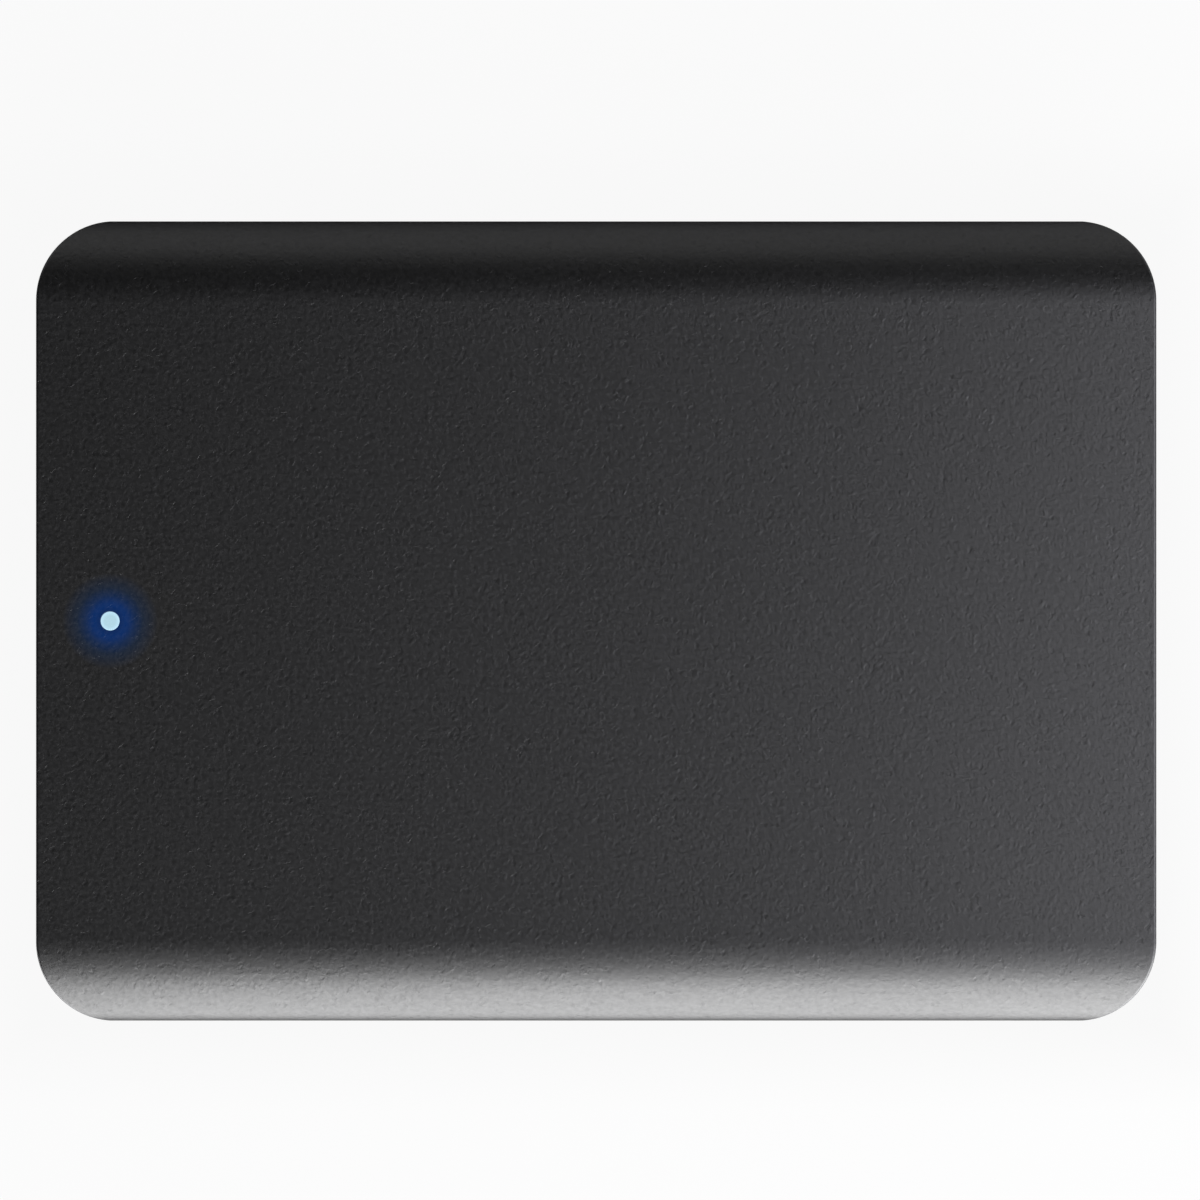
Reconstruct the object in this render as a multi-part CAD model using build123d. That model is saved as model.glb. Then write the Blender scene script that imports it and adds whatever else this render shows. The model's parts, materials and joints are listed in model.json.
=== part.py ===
from build123d import *
import os
from math import acos, atan2, cos, degrees, radians, sin, sqrt

# Portable hard drive. Millimetres, X along the length with the port at -X, Z up, feet on Z = 0.

# Length by which cutting tools run past a face
OVERCUT = 1.0

# Disk, casting and cover of the drive
PLATTER_DIAMETER = 65.0
PLATTER_BORE = 20.0
PLATTER_THICKNESS = 0.8
SHROUD_GAP = 0.6
BASE_WALL = 1.825
BASE_CORNER = 2.5
BOARD_BAY = 1.6
DECK = 0.9
UNDER_DISK = 1.15
OVER_DISK = 2.05
COVER_THICKNESS = 0.5
COVER_EDGE = 0.4
GASKET_THICKNESS = 0.3
GASKET_WIDTH = 0.8
GASKET_MARGIN = 0.3
FRONT_WALL = 1.6
COVER_STEP = 0.2
COVER_PANEL_MARGIN = 0.6

# Spindle motor
SHAFT_DIAMETER = 3.0
BEARING_DIAMETER = 7.4
RUNNING_GAP = 0.03
PRESS_GAP = 0.01
MOTOR_RECESS_DIAMETER = 26.0
MOTOR_FLOOR = 0.7
STATOR_DIAMETER = 16.4
STATOR_TEETH = 9
STATOR_CORE_RADIUS = 5.0
TOOTH_WIDTH = 1.3
SHOE_DEPTH = 0.8
SHOE_ANGLE = 30.0
COIL_BUILD = 0.35
AIR_GAP = 0.2
MAGNET_RING = 0.9
SKIRT = 1.0
SKIRT_FLOOR_GAP = 0.3
HUB_FLANGE_DIAMETER = 23.5
HUB_FLANGE = 0.6
CLAMP_DIAMETER = 24.0
CLAMP_THICKNESS = 0.5
CLAMP_RELIEF = 0.25
CLAMP_RELIEF_DIAMETER = 18.0
CLAMP_SCREW_DIAMETER = 2.0
CLAMP_HEAD_DIAMETER = 5.0
CLAMP_HEAD = 0.6
CLAMP_SCREW_LENGTH = 2.2

# Head stack and voice coil motor
PIVOT_DISK_GAP = 10.0
HEAD_SPINDLE_GAP = 6.0
PARK_MARGIN = 1.5
INNER_TRACK_RADIUS = 15.0
PIVOT_POST_DIAMETER = 3.0
CARTRIDGE_DIAMETER = 9.0
ARM_HUB_DIAMETER = 12.0
ARM_THICKNESS = 0.5
ARM_TIP_REACH = 24.0
ARM_TIP_RADIUS = 1.6
ARM_DECK_GAP = 0.3
ARM_WINDOW_START = 10.0
ARM_WINDOW_END = 17.0
ARM_WINDOW_RADIUS = 1.6
BLADE_ROOT_REACH = 21.5
BLADE_ROOT_RADIUS = 1.4
BLADE_TIP_RADIUS = 0.5
BLADE_THICKNESS = 0.12
TAB_LENGTH = 2.0
SLIDER_LENGTH = 1.25
SLIDER_WIDTH = 1.0
SLIDER_HEIGHT = 0.18
COIL_ANGLE = 205.0
COIL_INNER = 9.0
COIL_OUTER = 16.8
COIL_HALF_ANGLE = 18.0
COIL_BAND = 2.1
COIL_HEIGHT = 0.9
COIL_CORNER = 1.2
COIL_FIT = 0.05
FORK_ANGLE = 4.0
FORK_REACH = 13.6
SWING_GAP = 0.6
YOKE_INNER = 8.2
YOKE_OUTER = 17.0
YOKE_THICKNESS = 0.55
YOKE_CORNER = 1.5
YOKE_WALL_SETBACK = 1.9
MAGNET_THICKNESS = 0.5
MAGNET_INSET = 0.8
MAGNET_CORNER = 0.8
MAGNET_HALF_ANGLE = 9.0
COIL_GAP = 0.4
POST_REACH = 13.0
POST_DIAMETER = 2.0
STOP_DIAMETER = 3.2
STOP_MARGIN_ANGLE = 8.5
YOKE_MARGIN_ANGLE = 8.5
RAMP_WIDTH = 2.0
RAMP_GAP = 0.05
RAMP_ANGLE = 2.4
RAMP_PILLAR = 3.4
BAY_MARGIN = 2.0

# Small pieces inside the drive
FILTER_LENGTH = 8.0
FILTER_WIDTH = 2.0
FILTER_HEIGHT = 3.4
FILTER_PLEATS = 5
FILTER_PLEAT_DEPTH = 0.6
CORNER_GAP = 1.0
DESICCANT_LENGTH = 9.0
DESICCANT_WIDTH = 6.0
DESICCANT_HEIGHT = 2.6
FLEX_CONNECTOR_LENGTH = 8.0
FLEX_CONNECTOR_WIDTH = 4.5
FLEX_CONNECTOR_HEIGHT = 1.6
FLEX_INSET = 1.8
FLEX_DROP = 20.0
FLEX_THICKNESS = 0.15
FLEX_HEIGHT = 2.0
FLEX_BOW = 2.0
FLEX_ROOT_ANGLE = 38.0

# Drive screws and controller board
COVER_SCREW_DIAMETER = 1.6
COVER_HEAD_DIAMETER = 2.6
COVER_HEAD = 0.3
COVER_SCREW_LENGTH = 3.0
CORNER_SCREW_INSET = 3.6
SCREW_SEAL_GAP = 0.2
THREAD_GAP = 0.02
BOARD_THICKNESS = 0.7
BOARD_REST = 0.3
BOARD_SIDE_MARGIN = 2.6
BOARD_LENGTH = 42.0
BOARD_GAP = 0.2
BOARD_SCREW_DIAMETER = 1.4
BOARD_HEAD_DIAMETER = 2.6
BOARD_SCREW_INSET = 3.2
BOARD_SCREW_GRIP = 0.6
PROCESSOR_SIZE = 9.0
DRIVER_SIZE = 7.0
CACHE_LENGTH = 10.0
CACHE_WIDTH = 6.0
CHIP_ROW = 21.0
CHIP_SPACING = 14.0
CHIP_HEIGHT = 0.5

# Drive plug and socket
PLUG_DEPTH = 6.8
PLUG_WIDTH = 42.0
PLUG_OFFSET = -4.8
PLUG_FIT = 0.1
PLUG_BACK = 1.3
PLUG_END_POST = 1.4
PLUG_HEADROOM = 0.5
TONGUE_HEIGHT = 3.2
TONGUE_THICKNESS = 1.2
TONGUE_LENGTH = 4.6
POWER_TONGUE = 20.6
SIGNAL_TONGUE = 10.4
TONGUE_SPLIT = 3.3
KEY_WIDTH = 1.1
KEY_HEIGHT = 0.8
TONGUE_FIT = 0.12
SOCKET_HALF_HEIGHT = 1.75
SOCKET_FLANGE = 1.0
SOCKET_NOSE = 4.8
SOCKET_SEAT = 0.2
SOCKET_SIDE = 0.5
SIDE_HOLE_FRONT = 14.0
SIDE_HOLE_REAR_INSET = 9.73
SIDE_HOLE_HEIGHT = 3.0
SIDE_HOLE_DIAMETER = 3.0
SIDE_HOLE_DEPTH = 2.5
SIDE_BOSS_WALL = 1.4
SIDE_BOSS_REACH = 3.2

# Case
SLEEVE_WALL = 1.2
SIDE_SPACE = 3.875
ROLL_WIDTH = 8.2
SIDE_RADIUS = 4.5
CORNER_RADIUS = 8.0
CORNER_RELIEF = 0.05
EDGE_BREAK = 0.25
CAP_WALL = 1.6
CAP_SETBACK = 0.2
CAP_FIT = 0.05
BRIDGE_BAY = 7.25
REAR_PAD = 0.8
REAR_PAD_LENGTH = 40.0
REAR_PAD_HEIGHT = 5.0
TOP_PAD = 1.2
TOP_PAD_LENGTH = 62.0
TOP_PAD_WIDTH = 44.0
TOP_PAD_CORNER = 4.0
FOOT_DIAMETER = 8.0
FOOT_PROUD = 0.6
FOOT_RECESS = 0.3
FOOT_FIT = 0.05
FOOT_CHAMFER = 0.25
FOOT_END_INSET = 12.0
FOOT_SIDE_INSET = 16.0
WINDOW_DIAMETER = 1.9
PIPE_FIT = 0.02
PIPE_FLANGE_DIAMETER = 3.6
PIPE_FLANGE = 0.8
PIPE_LIGHT_GAP = 1.0

# Tray, bumpers and snap tabs
TRAY_CLEARANCE = 0.1
TRAY_WALL = 0.8
TRAY_RIM = 1.0
TRAY_END_GAP = 0.2
TRAY_TONGUE_INSET = 1.3
TRAY_WINDOW_LENGTH = 22.0
TRAY_WINDOW_WIDTH = 40.0
TRAY_WINDOW_PITCH = 27.0
TRAY_WINDOW_CORNER = 3.0
LEDGE_GAP = 0.1
LEDGE_HEIGHT = 0.8
LEDGE_WIDTH = 1.2
BUMPER_FLOOR = 0.9
BUMPER_LENGTH = 5.2
BUMPER_FOOT = 5.0
BUMPER_FIT = 0.05
BUMPER_PEG_DIAMETER = 2.8
BUMPER_PEG_LENGTH = 1.6
BUMPER_CAP_GAP = 0.93
TAB_SCREW_SPACING = 7.5
TAB_WIDTH = 7.0
TAB_REACH = 4.2
TAB_THICKNESS = 0.7
TAB_LIFT = 0.1
HOOK_LENGTH = 1.0
HOOK_DROP = 0.7
HOOK_FIT = 0.2

# Bridge board
BRIDGE_THICKNESS = 1.0
BRIDGE_END_GAP = 0.1
BRIDGE_SCREW_INSET = 3.5
BRIDGE_SCREW_DIAMETER = 2.0
BRIDGE_HEAD_DIAMETER = 3.6
BRIDGE_HEAD = 0.8
BRIDGE_SCREW_LENGTH = 3.6
BRIDGE_BOSS_DIAMETER = 4.4
BRIDGE_CHIP_SIZE = 4.5
BRIDGE_CHIP_OFFSET = 13.0
CRYSTAL_LENGTH = 3.2
CRYSTAL_WIDTH = 2.5
CRYSTAL_OFFSET = 6.5
BRIDGE_PART_HEIGHT = 0.8
LIGHT_LENGTH = 1.6
LIGHT_WIDTH = 0.7
LIGHT_HEIGHT = 0.6
LIGHT_SETBACK = 1.65

# Thin USB socket
PORT_EDGE_INSET = 16.0
PORT_MAIN_WIDTH = 6.9
PORT_SIDE_WIDTH = 4.6
PORT_SPLIT = 0.75
PORT_HEIGHT = 1.9
PORT_BRIDGE_HEIGHT = 1.2
PORT_CHAMFER = 0.55
SHELL_THICKNESS = 0.25
SHELL_LENGTH = 6.5
SHELL_TAB_LENGTH = 1.6
SHELL_TAB_SETBACK = 3.2
SHELL_TAB_WIDTH = 1.0
PORT_FIT = 0.12
PORT_RECESS = 0.4
PORT_RECESS_MARGIN = 1.0
INSULATOR_BACK = 1.6
INSULATOR_FIT = 0.02
INSULATOR_TONGUE = 4.0
INSULATOR_THICKNESS = 0.55
INSULATOR_DROP = 0.35
MAIN_TONGUE_WIDTH = 3.8
SIDE_TONGUE_WIDTH = 3.3
CONTACT_COUNT = 5
CONTACT_PITCH = 0.65
CONTACT_WIDTH = 0.25
CONTACT_THICKNESS = 0.1
CONTACT_LENGTH = 3.4

# Drive layout, heights measured from the underside of the drive
DRIVE_WIDTH = PLATTER_DIAMETER + 2 * (SHROUD_GAP + BASE_WALL)
SHROUD_RADIUS = PLATTER_DIAMETER / 2 + SHROUD_GAP
DECK_TOP = BOARD_BAY + DECK
DISK_BOTTOM = DECK_TOP + UNDER_DISK
DISK_TOP = DISK_BOTTOM + PLATTER_THICKNESS
COVER_BOTTOM = DISK_TOP + OVER_DISK
BASE_TOP = COVER_BOTTOM - GASKET_THICKNESS
DRIVE_HEIGHT = COVER_BOTTOM + COVER_THICKNESS
FLANGE_TOP = DRIVE_HEIGHT - COVER_STEP
BOARD_TOP = BOARD_REST + BOARD_THICKNESS
BAY_SIDE = DRIVE_WIDTH / 2 - SIDE_HOLE_DEPTH - SIDE_BOSS_WALL
PIVOT_DISTANCE = PLATTER_DIAMETER / 2 + PIVOT_DISK_GAP
HEAD_REACH = PIVOT_DISTANCE - HEAD_SPINDLE_GAP
PIVOT_Y = BAY_SIDE + YOKE_WALL_SETBACK - YOKE_OUTER
PIVOT_DX = sqrt(PIVOT_DISTANCE ** 2 - PIVOT_Y ** 2)
PIVOT_ANGLE = degrees(atan2(PIVOT_Y, PIVOT_DX))
FRONT_REACH = PIVOT_DX + YOKE_OUTER + SWING_GAP + FRONT_WALL + PLUG_DEPTH
DRIVE_LENGTH = SHROUD_RADIUS + BASE_WALL + FRONT_REACH

# Case layout
CASE_WIDTH = DRIVE_WIDTH + 2 * (SIDE_SPACE + SLEEVE_WALL)
CASE_LENGTH = 2 * (CAP_SETBACK + CAP_WALL) + REAR_PAD + DRIVE_LENGTH + BRIDGE_BAY
FLOOR_STACK = SLEEVE_WALL + TRAY_CLEARANCE + TRAY_WALL + BUMPER_FLOOR
SLEEVE_HEIGHT = FLOOR_STACK + DRIVE_HEIGHT + TOP_PAD + SLEEVE_WALL
CASE_TOP = FOOT_PROUD + SLEEVE_HEIGHT
INNER_TOP = CASE_TOP - SLEEVE_WALL
MID_Z = FOOT_PROUD + SLEEVE_HEIGHT / 2
HALF_LENGTH = CASE_LENGTH / 2
HALF_FLAT = CASE_WIDTH / 2 - ROLL_WIDTH
SIDE_CENTRE_Y = CASE_WIDTH / 2 - SIDE_RADIUS
SIDE_RUN = ROLL_WIDTH - SIDE_RADIUS
CROWN_RADIUS = (SIDE_RUN ** 2 + SLEEVE_HEIGHT ** 2 / 4 - SIDE_RADIUS ** 2) / (SLEEVE_HEIGHT - 2 * SIDE_RADIUS)
ROLL_ANGLE = degrees(atan2(CROWN_RADIUS - SLEEVE_HEIGHT / 2, SIDE_RUN))
SECTION = Plane((0, 0, MID_Z), x_dir=(0, 1, 0), z_dir=(1, 0, 0))
CAP_INNER = HALF_LENGTH - CAP_SETBACK - CAP_WALL
CAP_INNER_HALF = CASE_WIDTH / 2 - SLEEVE_WALL - CAP_WALL
CAP_INNER_CORNER = CORNER_RADIUS - CAP_SETBACK - CAP_WALL
TRAY_INSET = SLEEVE_WALL + TRAY_CLEARANCE
TRAY_BOTTOM = FOOT_PROUD + TRAY_INSET
TRAY_TOP = TRAY_BOTTOM + TRAY_WALL
TRAY_RIM_Z = MID_Z + TRAY_RIM
TRAY_TONGUE_HALF = HALF_FLAT - TRAY_TONGUE_INSET
TAB_TIP = CAP_INNER - TAB_REACH

# Places of the drive, the bridge board and the port inside the case
DRIVE_BOTTOM = FOOT_PROUD + FLOOR_STACK
DRIVE_REAR = CAP_INNER - REAR_PAD
DRIVE_FRONT = DRIVE_REAR - DRIVE_LENGTH
SPINDLE_X = DRIVE_FRONT + FRONT_REACH
PIVOT_X = SPINDLE_X - PIVOT_DX
SIDE_HOLE_PLACES = {"port": DRIVE_FRONT + SIDE_HOLE_FRONT, "rear": DRIVE_REAR - SIDE_HOLE_REAR_INSET}
CAP_END = SIDE_HOLE_PLACES["rear"] + BUMPER_LENGTH / 2 + BUMPER_CAP_GAP
TRAY_HALF = CAP_END - TRAY_END_GAP
PLUG_BACK_X = DRIVE_FRONT + PLUG_DEPTH
BAY_FRONT = PLUG_BACK_X + FRONT_WALL
TONGUE_Z = DRIVE_BOTTOM + TONGUE_HEIGHT
BRIDGE_TOP = TONGUE_Z + BRIDGE_THICKNESS / 2
BRIDGE_BOTTOM = BRIDGE_TOP - BRIDGE_THICKNESS
SOCKET_BACK = DRIVE_FRONT - SOCKET_SEAT - SOCKET_FLANGE
BRIDGE_FRONT = -CAP_INNER + BRIDGE_END_GAP
BRIDGE_X = (BRIDGE_FRONT + SOCKET_BACK) / 2
BRIDGE_HALF_WIDTH = CAP_INNER_HALF - CAP_INNER_CORNER
BRIDGE_SCREW_OFFSET = BRIDGE_HALF_WIDTH - BRIDGE_SCREW_INSET
TAB_HALF_SPACING = BRIDGE_SCREW_OFFSET - TAB_SCREW_SPACING
LIGHT_X = DRIVE_FRONT - LIGHT_SETBACK
PORT_OFFSET = PORT_EDGE_INSET - BRIDGE_HALF_WIDTH
PORT_FACE = -HALF_LENGTH + CAP_SETBACK + PORT_RECESS
PORT_HALF = (PORT_MAIN_WIDTH + PORT_SPLIT + PORT_SIDE_WIDTH) / 2
MAIN_CENTRE = -PORT_HALF + PORT_MAIN_WIDTH / 2
SIDE_CENTRE = PORT_HALF - PORT_SIDE_WIDTH / 2
SHELL_BACK = PORT_FACE + SHELL_LENGTH
INSULATOR_FRONT = SHELL_BACK - SHELL_THICKNESS - INSULATOR_BACK
INSULATOR_TOP = TONGUE_Z + PORT_HEIGHT / 2 - INSULATOR_DROP

# Motor heights and diameters
FLANGE_BOTTOM = DISK_BOTTOM - HUB_FLANGE
SKIRT_BOTTOM = MOTOR_FLOOR + SKIRT_FLOOR_GAP
MAGNET_OUTER = STATOR_DIAMETER + 2 * (AIR_GAP + MAGNET_RING)
SKIRT_INNER = MAGNET_OUTER + 2 * PRESS_GAP
BEARING_TOP = FLANGE_BOTTOM - AIR_GAP
STATOR_BOTTOM = MOTOR_FLOOR + COIL_BUILD + AIR_GAP
STATOR_TOP = FLANGE_BOTTOM - COIL_BUILD - 2 * AIR_GAP
CLAMP_TOP = DISK_TOP + CLAMP_THICKNESS

# Head stack heights
LOWER_ARM = DECK_TOP + ARM_DECK_GAP
LOWER_BLADE = LOWER_ARM + ARM_THICKNESS
UPPER_ARM = DISK_TOP + (DISK_BOTTOM - LOWER_BLADE)
ARM_TOP = UPPER_ARM + ARM_THICKNESS
LOWER_MAGNET = DECK_TOP + YOKE_THICKNESS
COIL_BOTTOM = LOWER_MAGNET + MAGNET_THICKNESS + COIL_GAP
COIL_TOP = COIL_BOTTOM + COIL_HEIGHT
UPPER_MAGNET = COIL_TOP + COIL_GAP
UPPER_YOKE = UPPER_MAGNET + MAGNET_THICKNESS


def arm_angle(track_radius):
    """Direction of the arm when its heads stand at a track radius."""
    squares = PIVOT_DISTANCE ** 2 + HEAD_REACH ** 2 - track_radius ** 2
    return -PIVOT_ANGLE - degrees(acos(squares / (2 * PIVOT_DISTANCE * HEAD_REACH)))


# Swing of the heads, from parked on the ramp to the innermost track
PARK_ANGLE = arm_angle(PLATTER_DIAMETER / 2 + PARK_MARGIN)
INNER_ANGLE = arm_angle(INNER_TRACK_RADIUS)
ARM_FRAME = Pos(PIVOT_X, PIVOT_Y) * Rot(0, 0, PARK_ANGLE)
PIVOT_FRAME = Pos(PIVOT_X, PIVOT_Y)
COIL_START = PARK_ANGLE + COIL_ANGLE
COIL_END = INNER_ANGLE + COIL_ANGLE
FORK_HALF_ANGLE = COIL_HALF_ANGLE + FORK_ANGLE
POST_MARGIN = FORK_HALF_ANGLE + STOP_MARGIN_ANGLE
TAB_TIP_REACH = HEAD_REACH + TAB_LENGTH
RAMP_OUTER = TAB_TIP_REACH + RAMP_WIDTH / 2
PILLAR_OUTER = RAMP_OUTER + RAMP_PILLAR
RAMP_START = PARK_ANGLE - RAMP_ANGLE
RAMP_END = PARK_ANGLE + RAMP_ANGLE / 2
BAY_REAR = PIVOT_X + PILLAR_OUTER * cos(radians(RAMP_END)) + BAY_MARGIN


def level(height):
    """Height above the underside of the drive, as a Z of the whole object."""
    return DRIVE_BOTTOM + height


def block(x0, x1, y0, y1, z0, z1):
    """Box between two opposite corners."""
    return Pos((x0 + x1) / 2, (y0 + y1) / 2, (z0 + z1) / 2) * Box(x1 - x0, y1 - y0, z1 - z0)


def rod(x, y, diameter, z0, z1):
    """Upright round bar."""
    return Pos(x, y, z0) * Cylinder(diameter / 2, z1 - z0, align=(Align.CENTER, Align.CENTER, Align.MIN))


def turned(x, y, *profile):
    """Turned piece: a closed profile of (diameter, height) points, revolved about an upright axis."""
    points = [(diameter / 2, height) for diameter, height in profile]
    face = make_face(Polyline(*points, close=True))
    return Pos(x, y) * revolve(Plane.XZ * face, axis=Axis.Z)


def plate(sketch, z0, z1):
    """Flat outline raised from one height to another."""
    return extrude(Pos(0, 0, z0) * sketch, amount=z1 - z0)


def ring(x, y, outer, inner, z0, z1):
    """Round ring between two heights."""
    return plate(Pos(x, y) * (Circle(outer / 2) - Circle(inner / 2)), z0, z1)


def field(x0, x1, half_width):
    """Rectangle between two X places, equal to both sides of the middle."""
    return Pos((x0 + x1) / 2, 0) * Rectangle(x1 - x0, 2 * half_width)


def ring_sector(inner, outer, start, end):
    """Part of a flat ring between two angles."""
    outer_arc = CenterArc((0, 0), outer, start, end - start)
    inner_arc = CenterArc((0, 0), inner, start, end - start)
    sides = Line(outer_arc @ 0, inner_arc @ 0) + Line(outer_arc @ 1, inner_arc @ 1)
    return make_face(outer_arc + inner_arc + sides)


def soft_sector(inner, outer, start, end, corner):
    """Part of a flat ring with rounded corners."""
    shape = ring_sector(inner, outer, start, end)
    return fillet(shape.vertices(), corner)


def around_pivot(reach, angle):
    """Point at a reach and direction from the head pivot."""
    return PIVOT_X + reach * cos(radians(angle)), PIVOT_Y + reach * sin(radians(angle))


def oval_section(inset):
    """Section of the sleeve: two flats joined by rolls of three tangent arcs, taken in by an inset."""
    height = SLEEVE_HEIGHT / 2 - inset
    crown = CROWN_RADIUS - inset
    drop = SLEEVE_HEIGHT / 2 - CROWN_RADIUS
    edges = Line((-HALF_FLAT, height), (HALF_FLAT, height))
    edges += Line((-HALF_FLAT, -height), (HALF_FLAT, -height))
    for side, turn in ((1, 0), (-1, 180)):
        upper, lower = (HALF_FLAT * side, drop * side), (HALF_FLAT * side, -drop * side)
        edges += CenterArc(upper, crown, turn + ROLL_ANGLE, 90 - ROLL_ANGLE)
        edges += CenterArc(lower, crown, turn - 90, 90 - ROLL_ANGLE)
        edges += CenterArc((SIDE_CENTRE_Y * side, 0), SIDE_RADIUS - inset, turn - ROLL_ANGLE, 2 * ROLL_ANGLE)
    return make_face(edges)


def section_bar(inset):
    """Bar with the sleeve's section, longer than the sleeve."""
    return extrude(SECTION * oval_section(inset), amount=CASE_LENGTH, both=True)


def plan_block(inset):
    """Upright block with the case's rounded plan, taken in by an inset."""
    width = CASE_WIDTH + 2 * CORNER_RELIEF - 2 * inset
    outline = RectangleRounded(CASE_LENGTH - 2 * inset, width, CORNER_RADIUS - inset)
    return plate(outline, -OVERCUT, CASE_TOP + OVERCUT)


def runs_along(edge, axis):
    """Whether an edge is straight and parallel to an axis."""
    return edge.geom_type == GeomType.LINE and abs((edge % 0.5).dot(axis.direction)) > 0.999


def foot_places():
    """Name and place of each foot."""
    x = HALF_LENGTH - FOOT_END_INSET
    y = CASE_WIDTH / 2 - FOOT_SIDE_INSET
    ends = (("port", -x), ("rear", x))
    return [(f"foot_{end}_{side}", ex, sy) for end, ex in ends for side, sy in (("left", y), ("right", -y))]


def make_sleeve():
    """Extruded sleeve with machined ends, tray ledges, light window and foot recesses."""
    sleeve = section_bar(0) & plan_block(0)
    cut_edges = [e for e in sleeve.edges() if not runs_along(e, Axis.X) and not runs_along(e, Axis.Z)]
    sleeve = chamfer(cut_edges, EDGE_BREAK)
    sleeve -= section_bar(SLEEVE_WALL)
    low = TRAY_RIM_Z + LEDGE_GAP
    inner_half = CASE_WIDTH / 2 - SLEEVE_WALL - LEDGE_WIDTH
    for side in (-1, 1):
        near, far = sorted((side * inner_half, side * CASE_WIDTH))
        zone = block(-TRAY_HALF, TRAY_HALF, near, far, low, low + LEDGE_HEIGHT)
        sleeve += section_bar(SLEEVE_WALL / 2) & zone
    sleeve -= rod(LIGHT_X, 0, WINDOW_DIAMETER, MID_Z, CASE_TOP + OVERCUT)
    for _, x, y in foot_places():
        recess = rod(x, y, FOOT_DIAMETER + 2 * FOOT_FIT, FOOT_PROUD - OVERCUT, FOOT_PROUD + FOOT_RECESS)
        sleeve -= recess
    return sleeve


def port_outline():
    """Opening of the thin USB socket: wide part and side part joined near the top."""
    top = PORT_HEIGHT / 2
    shoulder = top - PORT_BRIDGE_HEIGHT
    points = [(-PORT_HALF, top)]
    for start, end in ((-PORT_HALF, -PORT_HALF + PORT_MAIN_WIDTH), (PORT_HALF - PORT_SIDE_WIDTH, PORT_HALF)):
        points += [(start, shoulder), (start + PORT_CHAMFER, -top)]
        points += [(end - PORT_CHAMFER, -top), (end, shoulder)]
    points.append((PORT_HALF, top))
    return make_face(Polyline(*points, close=True))


def port_plane(x):
    """Upright plane across the USB socket, facing the rear."""
    return Plane((x, PORT_OFFSET, TONGUE_Z), x_dir=(0, 1, 0), z_dir=(1, 0, 0))


def make_cap(side):
    """End cap that wraps round both corners, with two snap tabs over the tray floor."""
    bore = RectangleRounded(2 * CAP_INNER, 2 * CAP_INNER_HALF, CAP_INNER_CORNER)
    hollow = plate(bore, -OVERCUT, CASE_TOP + OVERCUT)
    end_zone = block(CAP_END, HALF_LENGTH, -CASE_WIDTH, CASE_WIDTH, 0, CASE_TOP)
    cap = (section_bar(SLEEVE_WALL + CAP_FIT) & plan_block(CAP_SETBACK) & end_zone) - hollow
    low = TRAY_TOP + TAB_LIFT
    arm = [(CAP_INNER + CAP_WALL / 2, low + TAB_THICKNESS), (TAB_TIP, low + TAB_THICKNESS)]
    hook = [(TAB_TIP, low), (TAB_TIP + HOOK_LENGTH, low - HOOK_DROP), (TAB_TIP + HOOK_LENGTH, low)]
    profile = make_face(Polyline(*arm, *hook, (CAP_INNER + CAP_WALL / 2, low), close=True))
    for y in (-TAB_HALF_SPACING, TAB_HALF_SPACING):
        cap += Pos(0, y, 0) * extrude(Plane.XZ * profile, amount=TAB_WIDTH / 2, both=True)
    return cap if side > 0 else cap.mirror(Plane.YZ)


def make_port_cap():
    """Port end cap with the USB opening in a shallow recess."""
    cap = make_cap(-1)
    opening = offset(port_outline(), SHELL_THICKNESS + PORT_FIT, kind=Kind.INTERSECTION)
    cap -= extrude(port_plane(-HALF_LENGTH) * opening, amount=CAP_SETBACK + CAP_WALL + OVERCUT)
    margin = 2 * (SHELL_THICKNESS + PORT_RECESS_MARGIN)
    surround = SlotOverall(2 * PORT_HALF + margin, PORT_HEIGHT + margin)
    return cap - extrude(port_plane(-HALF_LENGTH) * surround, amount=CAP_SETBACK + PORT_RECESS)


def make_tray():
    """Trough that follows the sleeve's bore, with a floor tongue at each end."""
    shell = section_bar(TRAY_INSET) - section_bar(TRAY_INSET + TRAY_WALL)
    tray = shell & block(-TRAY_HALF, TRAY_HALF, -CASE_WIDTH, CASE_WIDTH, 0, TRAY_RIM_Z)
    end = CAP_INNER - TRAY_END_GAP
    tray += block(-end, end, -TRAY_TONGUE_HALF, TRAY_TONGUE_HALF, TRAY_BOTTOM, TRAY_TOP)
    window = RectangleRounded(TRAY_WINDOW_LENGTH, TRAY_WINDOW_WIDTH, TRAY_WINDOW_CORNER)
    for i in (-1, 0, 1):
        tray -= plate(Pos(i * TRAY_WINDOW_PITCH, 0) * window, TRAY_BOTTOM - OVERCUT, TRAY_TOP + OVERCUT)
    catch = Rectangle(HOOK_LENGTH + 2 * HOOK_FIT, TAB_WIDTH + 2 * HOOK_FIT)
    catch_x = TAB_TIP + HOOK_LENGTH / 2
    for x in (-catch_x, catch_x):
        for y in (-TAB_HALF_SPACING, TAB_HALF_SPACING):
            tray -= plate(Pos(x, y) * catch, TRAY_BOTTOM - OVERCUT, TRAY_TOP + OVERCUT)
    hole_bottom = BRIDGE_TOP - BRIDGE_SCREW_LENGTH - TRAY_CLEARANCE
    for y in (-BRIDGE_SCREW_OFFSET, BRIDGE_SCREW_OFFSET):
        tray += rod(BRIDGE_X, y, BRIDGE_BOSS_DIAMETER, TRAY_BOTTOM, BRIDGE_BOTTOM)
        tray -= rod(BRIDGE_X, y, BRIDGE_SCREW_DIAMETER + 2 * THREAD_GAP, hole_bottom, BRIDGE_TOP)
    return tray


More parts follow.
